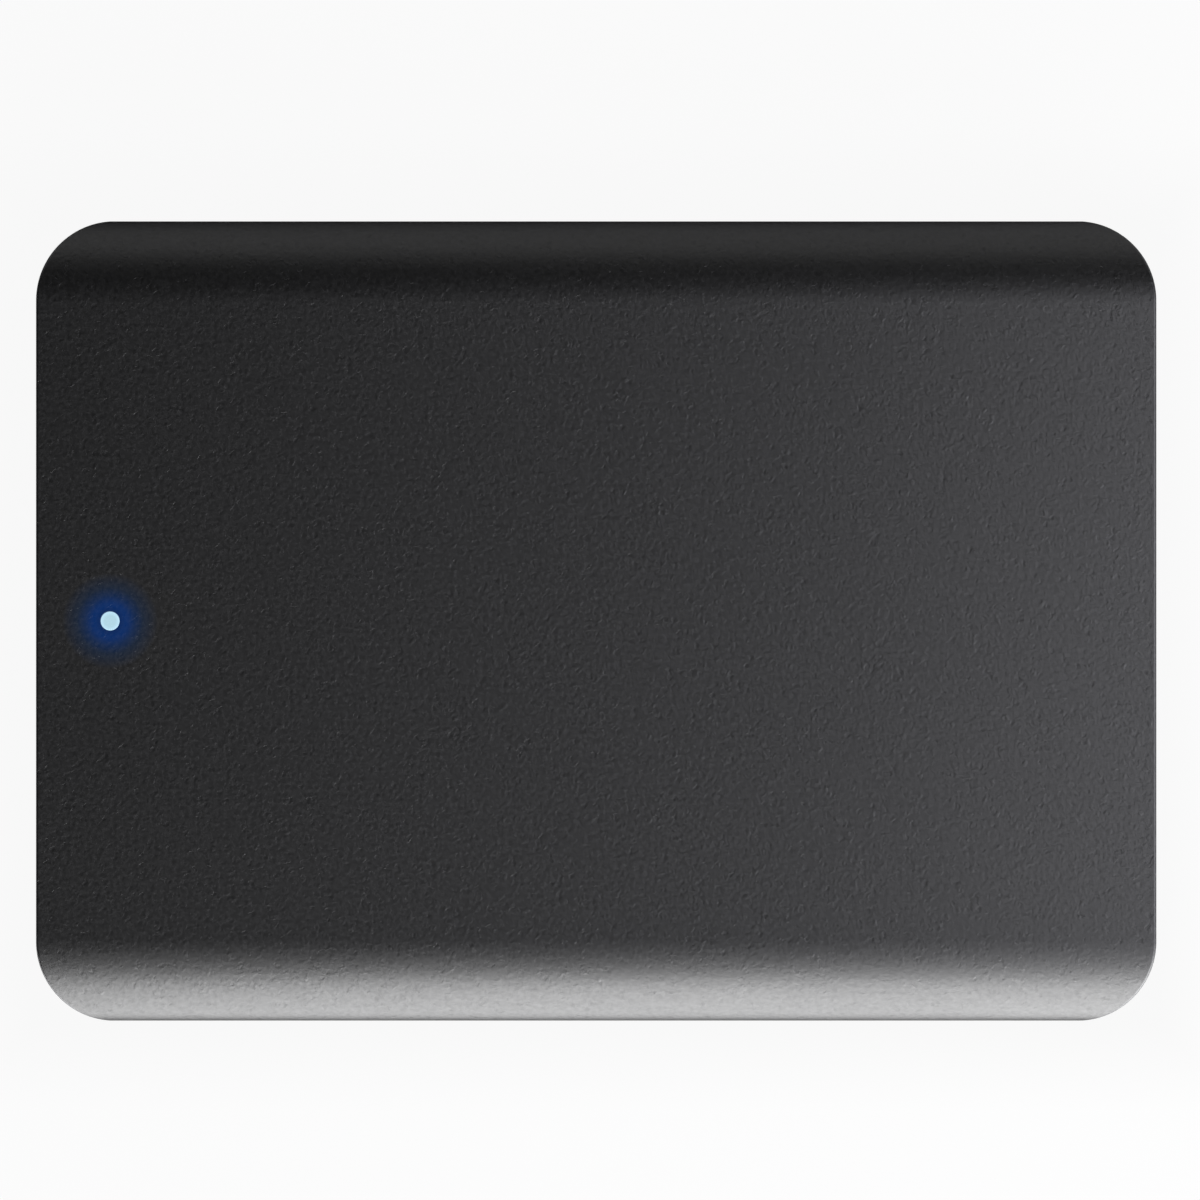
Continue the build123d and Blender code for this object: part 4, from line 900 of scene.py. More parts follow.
def softened(node: str, edge_mm: float) -> bpy.types.Object:
    """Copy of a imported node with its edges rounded.

    Args:
        node: name of the node.
        edge_mm: radius of the edges.

    Returns:
        The new piece.
    """
    shape = merged(node)
    bmesh.ops.dissolve_limit(shape, angle_limit=LEVEL_WITHIN, verts=shape.verts, edges=shape.edges)
    mesh = meshed(shape, node)
    if "custom_normal" in mesh.attributes:
        mesh.attributes.remove(mesh.attributes["custom_normal"])
    mesh.shade_smooth()
    carrier = linked(f"{node}_carrier", mesh)
    bevel = carrier.modifiers.new("edges", "BEVEL")
    bevel.width, bevel.segments = edge_mm * MM, 2
    bevel.limit_method, bevel.angle_limit = "ANGLE", SHARP_FROM
    bevel.harden_normals = True
    piece = linked(f"{node}_finished", settled(carrier))
    bpy.data.objects.remove(carrier)
    return piece


def strip(path: list[Pair], width: float, thick: float) -> bpy.types.Object:
    """Bent metal strip along a path in X and Z.

    Args:
        path: points in metres.
        width: width along Y.
        thick: thickness.

    Returns:
        The strip, to be copied.
    """
    shape = bmesh.new()
    rows = []
    for i, (x, z) in enumerate(path):
        before, after = Vector(path[max(i - 1, 0)]), Vector(path[min(i + 1, len(path) - 1)])
        run = (after - before).normalized() * thick / 2
        upper, lower = (x - run.y, z + run.x), (x + run.y, z - run.x)
        corners = ((upper, -1), (upper, 1), (lower, 1), (lower, -1))
        rows.append([shape.verts.new((cx, side * width / 2, cz)) for (cx, cz), side in corners])
    for first, second in zip(rows, rows[1:]):
        for i in range(len(first)):
            j = (i + 1) % len(first)
            shape.faces.new((first[i], first[j], second[j], second[i]))
    shape.faces.new(rows[0])
    shape.faces.new(rows[-1])
    bmesh.ops.recalc_face_normals(shape, faces=shape.faces)
    return linked("strip", meshed(shape, "strip"))


def brick(size: Triple, edge: float) -> bpy.types.Object:
    """Block with broken edges, to be copied.

    Args:
        size: its three sizes in metres.
        edge: width of the edges.

    Returns:
        The block, standing on the origin.
    """
    shape = bmesh.new()
    bmesh.ops.create_cube(shape, size=1.0)
    for vert in shape.verts:
        vert.co = Vector((vert.co.x * size[0], vert.co.y * size[1], (vert.co.z + 0.5) * size[2]))
    bmesh.ops.bevel(shape, geom=shape.edges, offset=edge, segments=1, profile=0.5, affect="EDGES")
    return linked("brick", meshed(shape, "brick"))


def carrying(mesh: bpy.types.Mesh, **layers: Sequence[Sequence[float]]) -> bpy.types.Mesh:
    """Let each point of a mesh carry vectors.

    Args:
        mesh: the mesh.
        layers: vectors of the points, by the name that they are read under.

    Returns:
        The same mesh.
    """
    for name, vectors in layers.items():
        layer = mesh.attributes.new(name, "FLOAT_VECTOR", "POINT")
        layer.data.foreach_set("vector", [value for vector in vectors for value in vector])
    return mesh


@dataclass(frozen=True)
class Spot:
    """Place of one copy: where it is and its turn about each axis in degrees."""

    place: Vector
    turn: Triple = (0.0, 0.0, 0.0)


def spotted(spots: list[Spot]) -> bpy.types.Mesh:
    """Points for a row of copies.

    Args:
        spots: places of the copies.

    Returns:
        A mesh of loose points that carry their turn.
    """
    mesh = bpy.data.meshes.new("spots")
    mesh.from_pydata([spot.place for spot in spots], [], [])
    return carrying(mesh, turn=[[math.radians(angle) for angle in spot.turn] for spot in spots])


def joint_place(name: str) -> Vector:
    """Point on the axis of a joint, in metres."""
    joint = next(row for row in frame["record"]["behaviour"]["joints"] if row["name"] == name)
    return Vector(joint["pos_m"])


def corners_of(node: str) -> list[Vector]:
    """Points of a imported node's mesh, in metres."""
    return [vertex.co for vertex in frame["nodes"][node].data.vertices]


def middle_of(node: str) -> Vector:
    """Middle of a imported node's box, in metres."""
    low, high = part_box(node)
    return (low + high) / 2


def circle_through(first: Vector, second: Vector, third: Vector) -> tuple[Vector, float]:
    """Circle through three points of a plane.

    Args:
        first: first point.
        second: second point.
        third: third point.

    Returns:
        Centre and radius.
    """
    a, b = second - first, third - first
    cross = 2 * (a.x * b.y - a.y * b.x)
    centre = first + Vector((b.y * a.length_squared - a.y * b.length_squared,
                             a.x * b.length_squared - b.x * a.length_squared)) / cross
    return centre, (first - centre).length


def bent(start: Vector, corner: Vector, end: Vector, share: float) -> Pair:
    """Point at a share of the way along the curve that rounds a corner off."""
    left = 1 - share
    return tuple(left ** 2 * start + 2 * share * left * corner + share ** 2 * end)


def rounded(corners: list[Pair], radius: float, steps: int = 4) -> list[Pair]:
    """Closed outline with its corners rounded off.

    Args:
        corners: corner points.
        radius: how far from a corner its curve starts.
        steps: parts of each curve.

    Returns:
        Points of the outline.
    """
    points = []
    for i, corner in enumerate(corners):
        here = Vector(corner)
        before, after = Vector(corners[i - 1]), Vector(corners[(i + 1) % len(corners)])
        start = here + (before - here).normalized() * radius
        end = here + (after - here).normalized() * radius
        points += [bent(start, here, end, step / steps) for step in range(steps + 1)]
    return points


def sector(
    inner: float, outer: float, half_angle: float, inset: float, corner: float, steps: int = 12
) -> list[Pair]:
    """Outline of a ring sector about the X axis, moved inwards on all sides.

    Args:
        inner: inner radius.
        outer: outer radius.
        half_angle: half of its angle, in degrees.
        inset: distance by which every side is moved in.
        corner: rounding of the corners.
        steps: parts of each arc.

    Returns:
        Points of the outline, counter-clockwise.
    """
    half = math.radians(half_angle)
    ends = {}
    for radius in (inner + inset, outer - inset):
        run = math.sqrt(radius ** 2 - inset ** 2)
        x, y = run * math.cos(half) + inset * math.sin(half), run * math.sin(half) - inset * math.cos(half)
        ends[radius] = math.atan2(y, x)
    (low, low_end), (high, high_end) = ends.items()
    points = []
    for radius, start, stop in ((high, -high_end, high_end), (low, low_end, -low_end)):
        trim = math.copysign(corner / radius, stop - start)
        arc = [start + trim + (stop - start - 2 * trim) * i / steps for i in range(steps + 1)]
        edge = [(radius * math.cos(a), radius * math.sin(a)) for a in arc]
        for end, tip in ((edge[0], start), (edge[-1], stop)):
            there = Vector((radius * math.cos(tip), radius * math.sin(tip)))
            ray = Vector((math.cos(half), math.copysign(math.sin(half), tip)))
            away = there + ray * (corner if radius == low else -corner)
            bend = [bent(Vector(end), there, away, share) for share in (0.33, 0.67, 1.0)]
            edge = bend[::-1] + edge if tip == start else edge + bend
        points += edge
    return points


def outline(points: list[Pair]) -> list[tuple[Pair, Pair]]:
    """Points of a counter-clockwise outline with the way outwards at each.

    Args:
        points: points of the outline.

    Returns:
        Rows of a point and its way outwards.
    """
    rows = []
    for i, point in enumerate(points):
        run = (Vector(points[(i + 1) % len(points)]) - Vector(points[i - 1])).normalized()
        rows.append((point, (run.y, -run.x)))
    return rows


def pathed(name: str, points: list[Vector], edges: list[tuple[int, int]]) -> bpy.types.Mesh:
    """Mesh of points and the edges that join them.

    Args:
        name: name of the mesh.
        points: places of the points.
        edges: pairs of points.

    Returns:
        The mesh.
    """
    mesh = bpy.data.meshes.new(name)
    mesh.from_pydata(points, edges, [])
    return mesh


def ringed(count: int, first: int = 0) -> list[tuple[int, int]]:
    """Edges that close a number of points to a ring."""
    return [(first + i, first + (i + 1) % count) for i in range(count)]


@dataclass(frozen=True)
class ScrewShape:
    """Screw with a six-lobed recess and a grooved shank. Millimetres."""

    head: float
    height: float
    shank: float
    length: float
    edge: float
    lobe: float = 0.26
    lobe_wave: float = 0.14
    lobes: int = 6
    recess: float = 0.65
    pitch: float = 0.4
    groove: float = 0.07
    groove_lean: float = 40.0
    twist: float = 17.0
    steps: int = 36

    @classmethod
    def fitted(cls, node: str, height: float, shank: float, edge: float = 0.1) -> "ScrewShape":
        """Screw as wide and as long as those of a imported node.

        Args:
            node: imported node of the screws.
            height: height of the head.
            shank: diameter of the shank.
            edge: rounding of the head.

        Returns:
            The screw's shape.
        """
        low, high = solids(node)[0]
        size = (high - low) / MM
        return cls(size.x, height, shank, size.z - height, edge)

    def make(self) -> bpy.types.Object:
        """Make the screw with its seat at the origin and its head up.

        Returns:
            The screw, to be copied.
        """
        skin = Skin()
        deep = self.height * (1 - self.recess)
        rims = []
        for z, lean in ((self.height, 90.0), (self.height, 180.0), (deep, 180.0), (deep, 90.0)):
            centre, radius = Vector((0, 0, z)) * MM, self.lobe * self.head * MM
            rims.append(skin.wavy(centre, radius, self.lobe_wave, self.lobes, self.steps, lean))
        skin.bridge(rims[1], rims[2])
        skin.fill(rims[3])
        radius, shank = self.head / 2, self.shank / 2
        rows = [(radius - self.edge * (1 - math.cos(math.radians(turn))),
                 self.height - self.edge * (1 - math.sin(math.radians(turn))), turn) for turn in EDGE_TURNS]
        rows += [(radius, 0.0, 0.0), (radius, 0.0, -90.0), (shank, 0.0, -90.0)]
        count = round(self.length / self.pitch)
        wave = ((0.0, 0.0), (0.5, -self.groove_lean), (1.0, 0.0), (0.5, self.groove_lean))
        for turn in range(count):
            for part, (sink, lean) in enumerate(wave):
                z = -(turn + part / len(wave)) * self.length / count
                rows.append((shank - sink * self.groove, z, lean))
        rows += [(shank - self.groove, -self.length, 0.0), (shank - self.groove, -self.length, -90.0)]
        rings = [skin.circle(Vector((0, 0, z)) * MM, r * MM, self.steps, lean) for r, z, lean in rows]
        for number, (first, second) in enumerate(zip(rings, rings[1:])):
            if rows[number][:2] != rows[number + 1][:2]:
                skin.bridge(first, second)
        skin.fill(rings[0], rims[0])
        skin.fill(rings[-1])
        return skin.make("screw")

    def spots(self, node: str, head_up: bool) -> list[Spot]:
        """Places of a node's screws.

        Args:
            node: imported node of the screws.
            head_up: whether the heads are on top.

        Returns:
            One spot for each screw.
        """
        spots = []
        for number, (low, high) in enumerate(solids(node)):
            seat = high.z - self.height * MM if head_up else low.z + self.height * MM
            place = Vector(((low.x + high.x) / 2, (low.y + high.y) / 2, seat))
            spots.append(Spot(place, (0.0 if head_up else 180.0, 0.0, self.twist * number)))
        return spots


@dataclass
class Assembly(ABC):
    """A group of pieces that are built and dressed together."""

    wardrobe: dict[str, bpy.types.Material]
    made: dict[str, tuple[str, str]] = field(default_factory=dict, init=False)

    @abstractmethod
    def build(self) -> None:
        """Make the pieces."""

    def keep(
        self, piece: bpy.types.Object, slot: str, body: Body, *nodes: str, finish: str | None = None
    ) -> None:
        """Enter a piece in the assembly.

        Args:
            piece: the piece.
            slot: its material slot.
            body: body that it moves with.
            nodes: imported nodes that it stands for.
            finish: finish, where it isn't the slot's first one.
        """
        for node in nodes:
            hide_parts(node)
        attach(piece, body.value)
        self.made[piece.name] = (slot, finish or slot)
        log.info("%s: %d faces on %s", piece.name, len(piece.data.polygons), body.value)

    def soften(
        self, edge_mm: float, slot: str, body: Body, *nodes: str, finish: str | None = None
    ) -> None:
        """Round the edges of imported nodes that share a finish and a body.

        Args:
            edge_mm: radius of the edges.
            slot: material slot.
            body: body that they move with.
            nodes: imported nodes.
            finish: finish, where it isn't the slot's first one.
        """
        for node in nodes:
            self.keep(softened(node, edge_mm), slot, body, node, finish=finish)

    def repeat(
        self, name: str, shape: bpy.types.Object, spots: list[Spot], slot: str, body: Body, *nodes: str
    ) -> None:
        """Copy a shape to places and enter the copies as one piece.

        Args:
            name: name of the piece.
            shape: what is copied; it is used up.
            spots: places of the copies.
            slot: material slot.
            body: body that they move with.
            nodes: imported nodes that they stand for.
        """
        piece = RowGraph(name, shape, self.wardrobe[slot]).run(name, spotted(spots))
        bpy.data.objects.remove(shape)
        self.keep(piece, slot, body, *nodes)

    def screws(
        self, name: str, shape: ScrewShape, body: Body, node: str, head_up: bool = True
    ) -> None:
        """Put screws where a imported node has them.

        Args:
            name: name of the piece.
            shape: one screw.
            body: body that they move with.
            node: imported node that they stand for.
            head_up: whether the heads are on top.
        """
        self.repeat(name, shape.make(), shape.spots(node, head_up), "screw_steel", body, node)

    def wind(
        self, name: str, turns: tuple[int, int], pitch: float, wire: float, loops: bpy.types.Mesh, body: Body,
        node: str,
    ) -> None:
        """Wind wire along loops and enter the turns as one piece.

        Args:
            name: name of the piece.
            turns: columns and rows of the turns.
            pitch: distance of the turns, in millimetres.
            wire: diameter of the wire, in millimetres.
            loops: first turns, whose points carry the ways of the columns and the rows.
            body: body that they move with.
            node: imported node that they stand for.
        """
        graph = WindingGraph(name, *turns, pitch * MM, wire * MM, self.wardrobe["copper_wire"])
        self.keep(graph.run(name, loops), "copper_wire", body, node)

    def dress(self) -> None:
        """Give each piece the finish of its slot."""
        for name, (slot, finish) in self.made.items():
            piece = bpy.data.objects[name]
            piece.data.materials.clear()
            piece.data.materials.append(self.wardrobe[finish])


@dataclass
class SleeveShell(Assembly):
    """Extruded sleeve: two flats joined by rolled sides, trimmed to a rounded plan. Sizes in millimetres."""

    wall: float = 1.2
    roll_width: float = 8.2
    side_radius: float = 4.5
    corner_radius: float = 8.0
    corner_relief: float = 0.05
    edge_round: float = 0.25
    bore_round: float = 0.1
    window_round: float = 0.08
    window_gap: float = 0.02
    foot_gap: float = 0.05
    foot_depth: float = 0.3
    ledge_inner: float = 37.6
    ledge_root: float = 38.9
    ledge_setback: float = 9.0
    ledge_gap: float = 0.1
    ledge_height: float = 0.8
    arc_step: float = 2.5
    round_steps: int = 4
    hole_steps: int = 64

    def __post_init__(self) -> None:
        """Read the overall size from the frame."""
        low, high = (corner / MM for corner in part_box("sleeve"))
        self.half_length, self.half_width = high.x, high.y
        self.low, self.high = low.z, high.z
        self.middle = (low.z + high.z) / 2
        self.half_height = (high.z - low.z) / 2
        self.half_flat = self.half_width - self.roll_width
        run = self.roll_width - self.side_radius
        spare = run ** 2 + self.half_height ** 2 - self.side_radius ** 2
        self.crown = spare / (2 * (self.half_height - self.side_radius))
        self.roll_angle = math.degrees(math.atan2(self.crown - self.half_height, run))

    def arcs(self) -> list[tuple[float, float, float, float]]:
        """Outer section, with the way that it faces at each point.

        Returns:
            Rows of y, z, normal y and normal z, once round the section.
        """
        side_y, crown_z = self.half_width - self.side_radius, self.half_height - self.crown
        spans = (
            (self.half_flat, crown_z, self.crown, 90.0, self.roll_angle),
            (side_y, 0.0, self.side_radius, self.roll_angle, -self.roll_angle),
            (self.half_flat, -crown_z, self.crown, -self.roll_angle, -90.0),
        )
        right = []
        for y, z, radius, start, end in spans:
            steps = max(2, round((start - end) / self.arc_step))
            for step in range(steps + (end == -90.0)):
                angle = math.radians(start + (end - start) * step / steps)
                ny, nz = math.cos(angle), math.sin(angle)
                right.append((y + radius * ny, z + radius * nz, ny, nz))
        return right + [(-y, -z, -ny, -nz) for y, z, ny, nz in right]

    def reach(self, y: float) -> tuple[float, Vector]:
        """End of the sleeve at a distance from its middle line.

        Args:
            y: distance across.

        Returns:
            Half length there, and the way that the cut faces.
        """
        centre_y = self.half_width + self.corner_relief - self.corner_radius
        over = abs(y) - centre_y
        if over <= 0:
            return self.half_length, Vector((1, 0, 0))
        run = math.sqrt(self.corner_radius ** 2 - over ** 2)
        facing = Vector((run, math.copysign(over, y), 0)).normalized()
        return self.half_length - self.corner_radius + run, facing

    def end_rows(self) -> list[tuple[float, float, float]]:
        """Rounded outer edge, cut face and rounded bore edge of an end.

        Returns:
            Rows of inset from the outer skin, setback from the end and turn from skin to cut, in degrees.
        """
        rows = []
        for size, depth in ((self.edge_round, 0.0), (self.bore_round, self.wall)):
            turns = [90.0 * i / self.round_steps for i in range(self.round_steps + 1)]
            part = []
            for turn in turns:
                sink = size * (1 - math.cos(math.radians(turn)))
                back = size * (1 - math.sin(math.radians(turn)))
                part.append((sink if depth == 0 else depth - sink, back, turn))
            rows += part if depth == 0 else part[::-1]
        return rows

    def end(self, skin: Skin, side: int) -> tuple[list[int], list[int]]:
        """Make one end of the sleeve.

        Args:
            skin: mesh under construction.
            side: 1 at the rear end, -1 at the port end.

        Returns:
            Rows of points that the outer skin and the bore start from.
        """
        rows = []
        for inset, back, turn in self.end_rows():
            row = []
            outer = inset < self.wall / 2
            for y, z, ny, nz in self.arcs():
                place = Vector((0, y - inset * ny, z - inset * nz))
                half, facing = self.reach(place.y)
                place.x = half - back
                along = Vector((0, ny, nz)) * (1 if outer else -1)
                normal = along * math.cos(math.radians(turn)) + facing * math.sin(math.radians(turn))
                place.x, normal.x = side * place.x, side * normal.x
                place.z += self.middle
                # share of the lighter edge colour, highest halfway round the rounded edge
                worn = math.sin(math.radians(2 * turn)) if outer else 0.0
                row.append(skin.point(place * MM, normal, worn))
            rows.append(row)
        skin.bridge(*rows)
        return rows[0], rows[-1]

    def flat_places(self) -> tuple[int, int]:
        """Numbers of the last section point before each flat: under the right roll and at the end."""
        count = len(self.arcs())
        return count // 2 - 1, count - 1

    def window(self, skin: Skin) -> tuple[list[int], list[int]]:
        """Make the wall of the light window.

        Args:
            skin: mesh under construction.

        Returns:
            Loops of the hole in the top face and in the bore.
        """
        middle = middle_of("light_pipe") / MM
        radius = self.window_radius()
        rows = []
        for turn in EDGE_TURNS:
            sink = self.window_round * (1 - math.sin(math.radians(turn)))
            wide = radius + self.window_round * (1 - math.cos(math.radians(turn)))
            centre = Vector((middle.x, middle.y, self.high - sink))
            rows.append(skin.circle(centre * MM, wide * MM, self.hole_steps, 180.0 - turn))
        bottom = Vector((middle.x, middle.y, self.high - self.wall))
        rows.append(skin.circle(bottom * MM, radius * MM, self.hole_steps, 180.0))
        skin.bridge(*rows)
        rim = skin.circle(bottom * MM, radius * MM, self.hole_steps, -90.0)
        return rows[0], rim

    def window_radius(self) -> float:
        """Radius of the window round the light pipe's stem, in millimetres."""
        points = [point / MM for point in corners_of("light_pipe")]
        top = max(point.z for point in points)
        stem = [point.y for point in points if point.z > top - self.wall / 2]
        return (max(stem) - min(stem)) / 2 + self.window_gap

    def recesses(self, skin: Skin) -> list[list[int]]:
        """Make the pockets of the feet.

        Args:
            skin: mesh under construction.

        Returns:
            Loops of the holes in the bottom face.
        """
        loops = []
        for node in FEET:
            low, high = (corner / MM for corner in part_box(node))
            radius = (high.y - low.y) / 2 + self.foot_gap
            mouth = Vector(((low.x + high.x) / 2, (low.y + high.y) / 2, self.low))
            seat = mouth + Vector((0, 0, self.foot_depth))
            rims = [skin.circle(centre * MM, radius * MM, self.hole_steps, lean)
                    for centre, lean in ((mouth, -90.0), (mouth, 180.0), (seat, 180.0), (seat, -90.0))]
            loops.append(rims[0])
            skin.bridge(rims[1], rims[2])
            skin.fill(rims[3])
        return loops

    def ledges(self, skin: Skin) -> None:
        """Make the two ledges inside that hold the tray down; their roots lie in the wall."""
        half, low = self.half_length - self.ledge_setback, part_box("drive_tray")[1].z / MM + self.ledge_gap
        for inner, root in ((self.ledge_inner, self.ledge_root), (-self.ledge_root, -self.ledge_inner)):
            corners = Vector((-half, inner, low)), Vector((half, root, low + self.ledge_height))
            skin.block(*(corner * MM for corner in corners))

    def build(self) -> None:
        """Make the sleeve."""
        skin = Skin()
        rear_outer, rear_bore = self.end(skin, 1)
        port_outer, port_bore = self.end(skin, -1)
        top_hole, bore_hole = self.window(skin)
        pockets = self.recesses(skin)
        under, over = self.flat_places()
        count = len(rear_outer)
        for rear, port, holes in ((rear_outer, port_outer, True), (rear_bore, port_bore, False)):
            for i in range(count):
                j = (i + 1) % count
                loop = [port[i], rear[i], rear[j], port[j]]
                if i == over:
                    skin.fill(loop, top_hole if holes else bore_hole)
                elif i == under and holes:
                    skin.fill(loop, *pockets)
                else:
                    skin.faces.append(loop)
        self.ledges(skin)
        self.keep(skin.make("sleeve_shell"), "anodised_sleeve", Body.CASE, "sleeve")


@dataclass
class EndCaps(Assembly):
    """Moulded caps that close both ends of the sleeve."""

    edge: float = 0.15

    def build(self) -> None:
        """Round the edges of both caps."""
        self.soften(self.edge, "black_cap", Body.CASE, "port_end_cap", "rear_end_cap")


@dataclass
class Feet(Assembly):
    """Four rubber feet with a rounded rim and a shallow ring in the sole. Sizes in millimetres."""

    rim: float = 0.3
    ring_inset: float = 1.1
    ring_width: float = 0.5
    ring_depth: float = 0.08
    ring_slope: float = 0.1
    small_round: float = 0.05
    steps: int = 64

    def build(self) -> None:
        """Turn one foot for each recess."""
        for node in FEET:
            low, high = (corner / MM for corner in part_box(node))
            radius = (high.x - low.x) / 2
            middle = Vector(((low.x + high.x) / 2, (low.y + high.y) / 2, 0.0))
            outer = radius - self.ring_inset
            inner, sunk = outer - self.ring_width, low.z + self.ring_depth
            profile = [(0.0, low.z), (inner, low.z), (inner + self.ring_slope, sunk),
                       (outer - self.ring_slope, sunk), (outer, low.z), (radius, low.z),
                       (radius, high.z), (0.0, high.z)]
            rounds = [0.0, *[self.small_round] * 4, self.rim, self.small_round, 0.0]
            skin = Skin()
            rows = [(r * MM, z * MM) for r, z in profile]
            skin.lathe(middle * MM, rows, [size * MM for size in rounds], self.steps)
            self.keep(skin.make(f"{node}_pad"), "foot_rubber", Body.CASE, node)


@dataclass
class LightGuide(Assembly):
    """Clear pipe in the window and the small lamp under it."""

    edge: float = 0.03

    def build(self) -> None:
        """Round the edges of pipe and lamp."""
        self.soften(self.edge, "clear_pipe", Body.CASE, "light_pipe")
        self.soften(self.edge, "lamp", Body.CASE, "status_light")


@dataclass
class UsbPort(Assembly):
    """Thin two-part socket: folded shell, insulator with two tongues, ten sprung contacts. Millimetres.

    The contact path has shares of a contact's length and thickness.
    """

    shell_edge: float = 0.07
    body_edge: float = 0.05
    contact_path: tuple[Pair, ...] = ((0.0, 0.5), (0.05, 0.5), (0.12, 0.75), (0.9, 0.75), (1.0, 0.75))
    contact_thick: float = 0.5

    def build(self) -> None:
        """Round the shell and the insulator, and bend the contacts."""
        self.soften(self.shell_edge, "nickel_shell", Body.CASE, "usb_shell")
        self.soften(self.body_edge, "connector_black", Body.CASE, "usb_insulator")
        boxes = solids("usb_contacts")
        size = boxes[0][1] - boxes[0][0]
        path = [(along * size.x, up * size.z) for along, up in self.contact_path]
        shape = strip(path, size.y, self.contact_thick * size.z)
        spots = [Spot(Vector((low.x, (low.y + high.y) / 2, low.z))) for low, high in boxes]
        self.repeat("usb_contact_springs", shape, spots, "gold_contacts", Body.CASE, "usb_contacts")


@dataclass
class Cushions(Assembly):
    """Tray, soft bumpers and foam that hold the drive in the sleeve. Millimetres."""

    tray_edge: float = 0.12
    bumper_edge: float = 0.3
    foam_edge: float = 0.25

    def build(self) -> None:
        """Round the edges of the tray and of the soft pieces."""
        self.soften(self.tray_edge, "grey_tray", Body.CASE, "drive_tray")
        bumpers = [f"bumper_{end}_{side}" for end in ("port", "rear") for side in ("left", "right")]
        self.soften(self.bumper_edge, "soft_silicone", Body.CASE, *bumpers)
        self.soften(self.foam_edge, "foam", Body.CASE, "top_foam_pad", "rear_foam_strip")


@dataclass(frozen=True)
class LegShape:
    """Bent leg that runs from the side of a package down to the board. Millimetres."""

    reach: float
    rise: float
    root: float = 0.1
    width: float = 0.24
    thick: float = 0.08
    bends: Pair = (0.25, 0.5)

    def make(self) -> bpy.types.Object:
        """Make the leg, with the side of the package at the origin.

        Returns:
            The leg, to be copied.
        """
        first, second = (share * self.reach for share in self.bends)
        foot = self.thick / 2
        path = [(-self.root, self.rise), (first, self.rise), (second, foot), (self.reach, foot)]
        return strip([(x * MM, z * MM) for x, z in path], self.width * MM, self.thick * MM)


@dataclass(frozen=True)
class PinRow:
    """Two rows of pins of the drive connector, about the middle of its width. Millimetres."""

    power: float = 20.6
    split: float = 3.3
    signal: float = 10.4
    pitch: float = 1.27
    power_pins: int = 15
    signal_pins: int = 7

    def places(self) -> list[float]:
        """Distances of the pins across the drive, from the connector's middle."""
        start = -(self.power + self.split + self.signal) / 2
        rows = ((start + self.power / 2, self.power_pins),
                (start + self.power + self.split + self.signal / 2, self.signal_pins))
        return [middle + (i - (pins - 1) / 2) * self.pitch for middle, pins in rows for i in range(pins)]


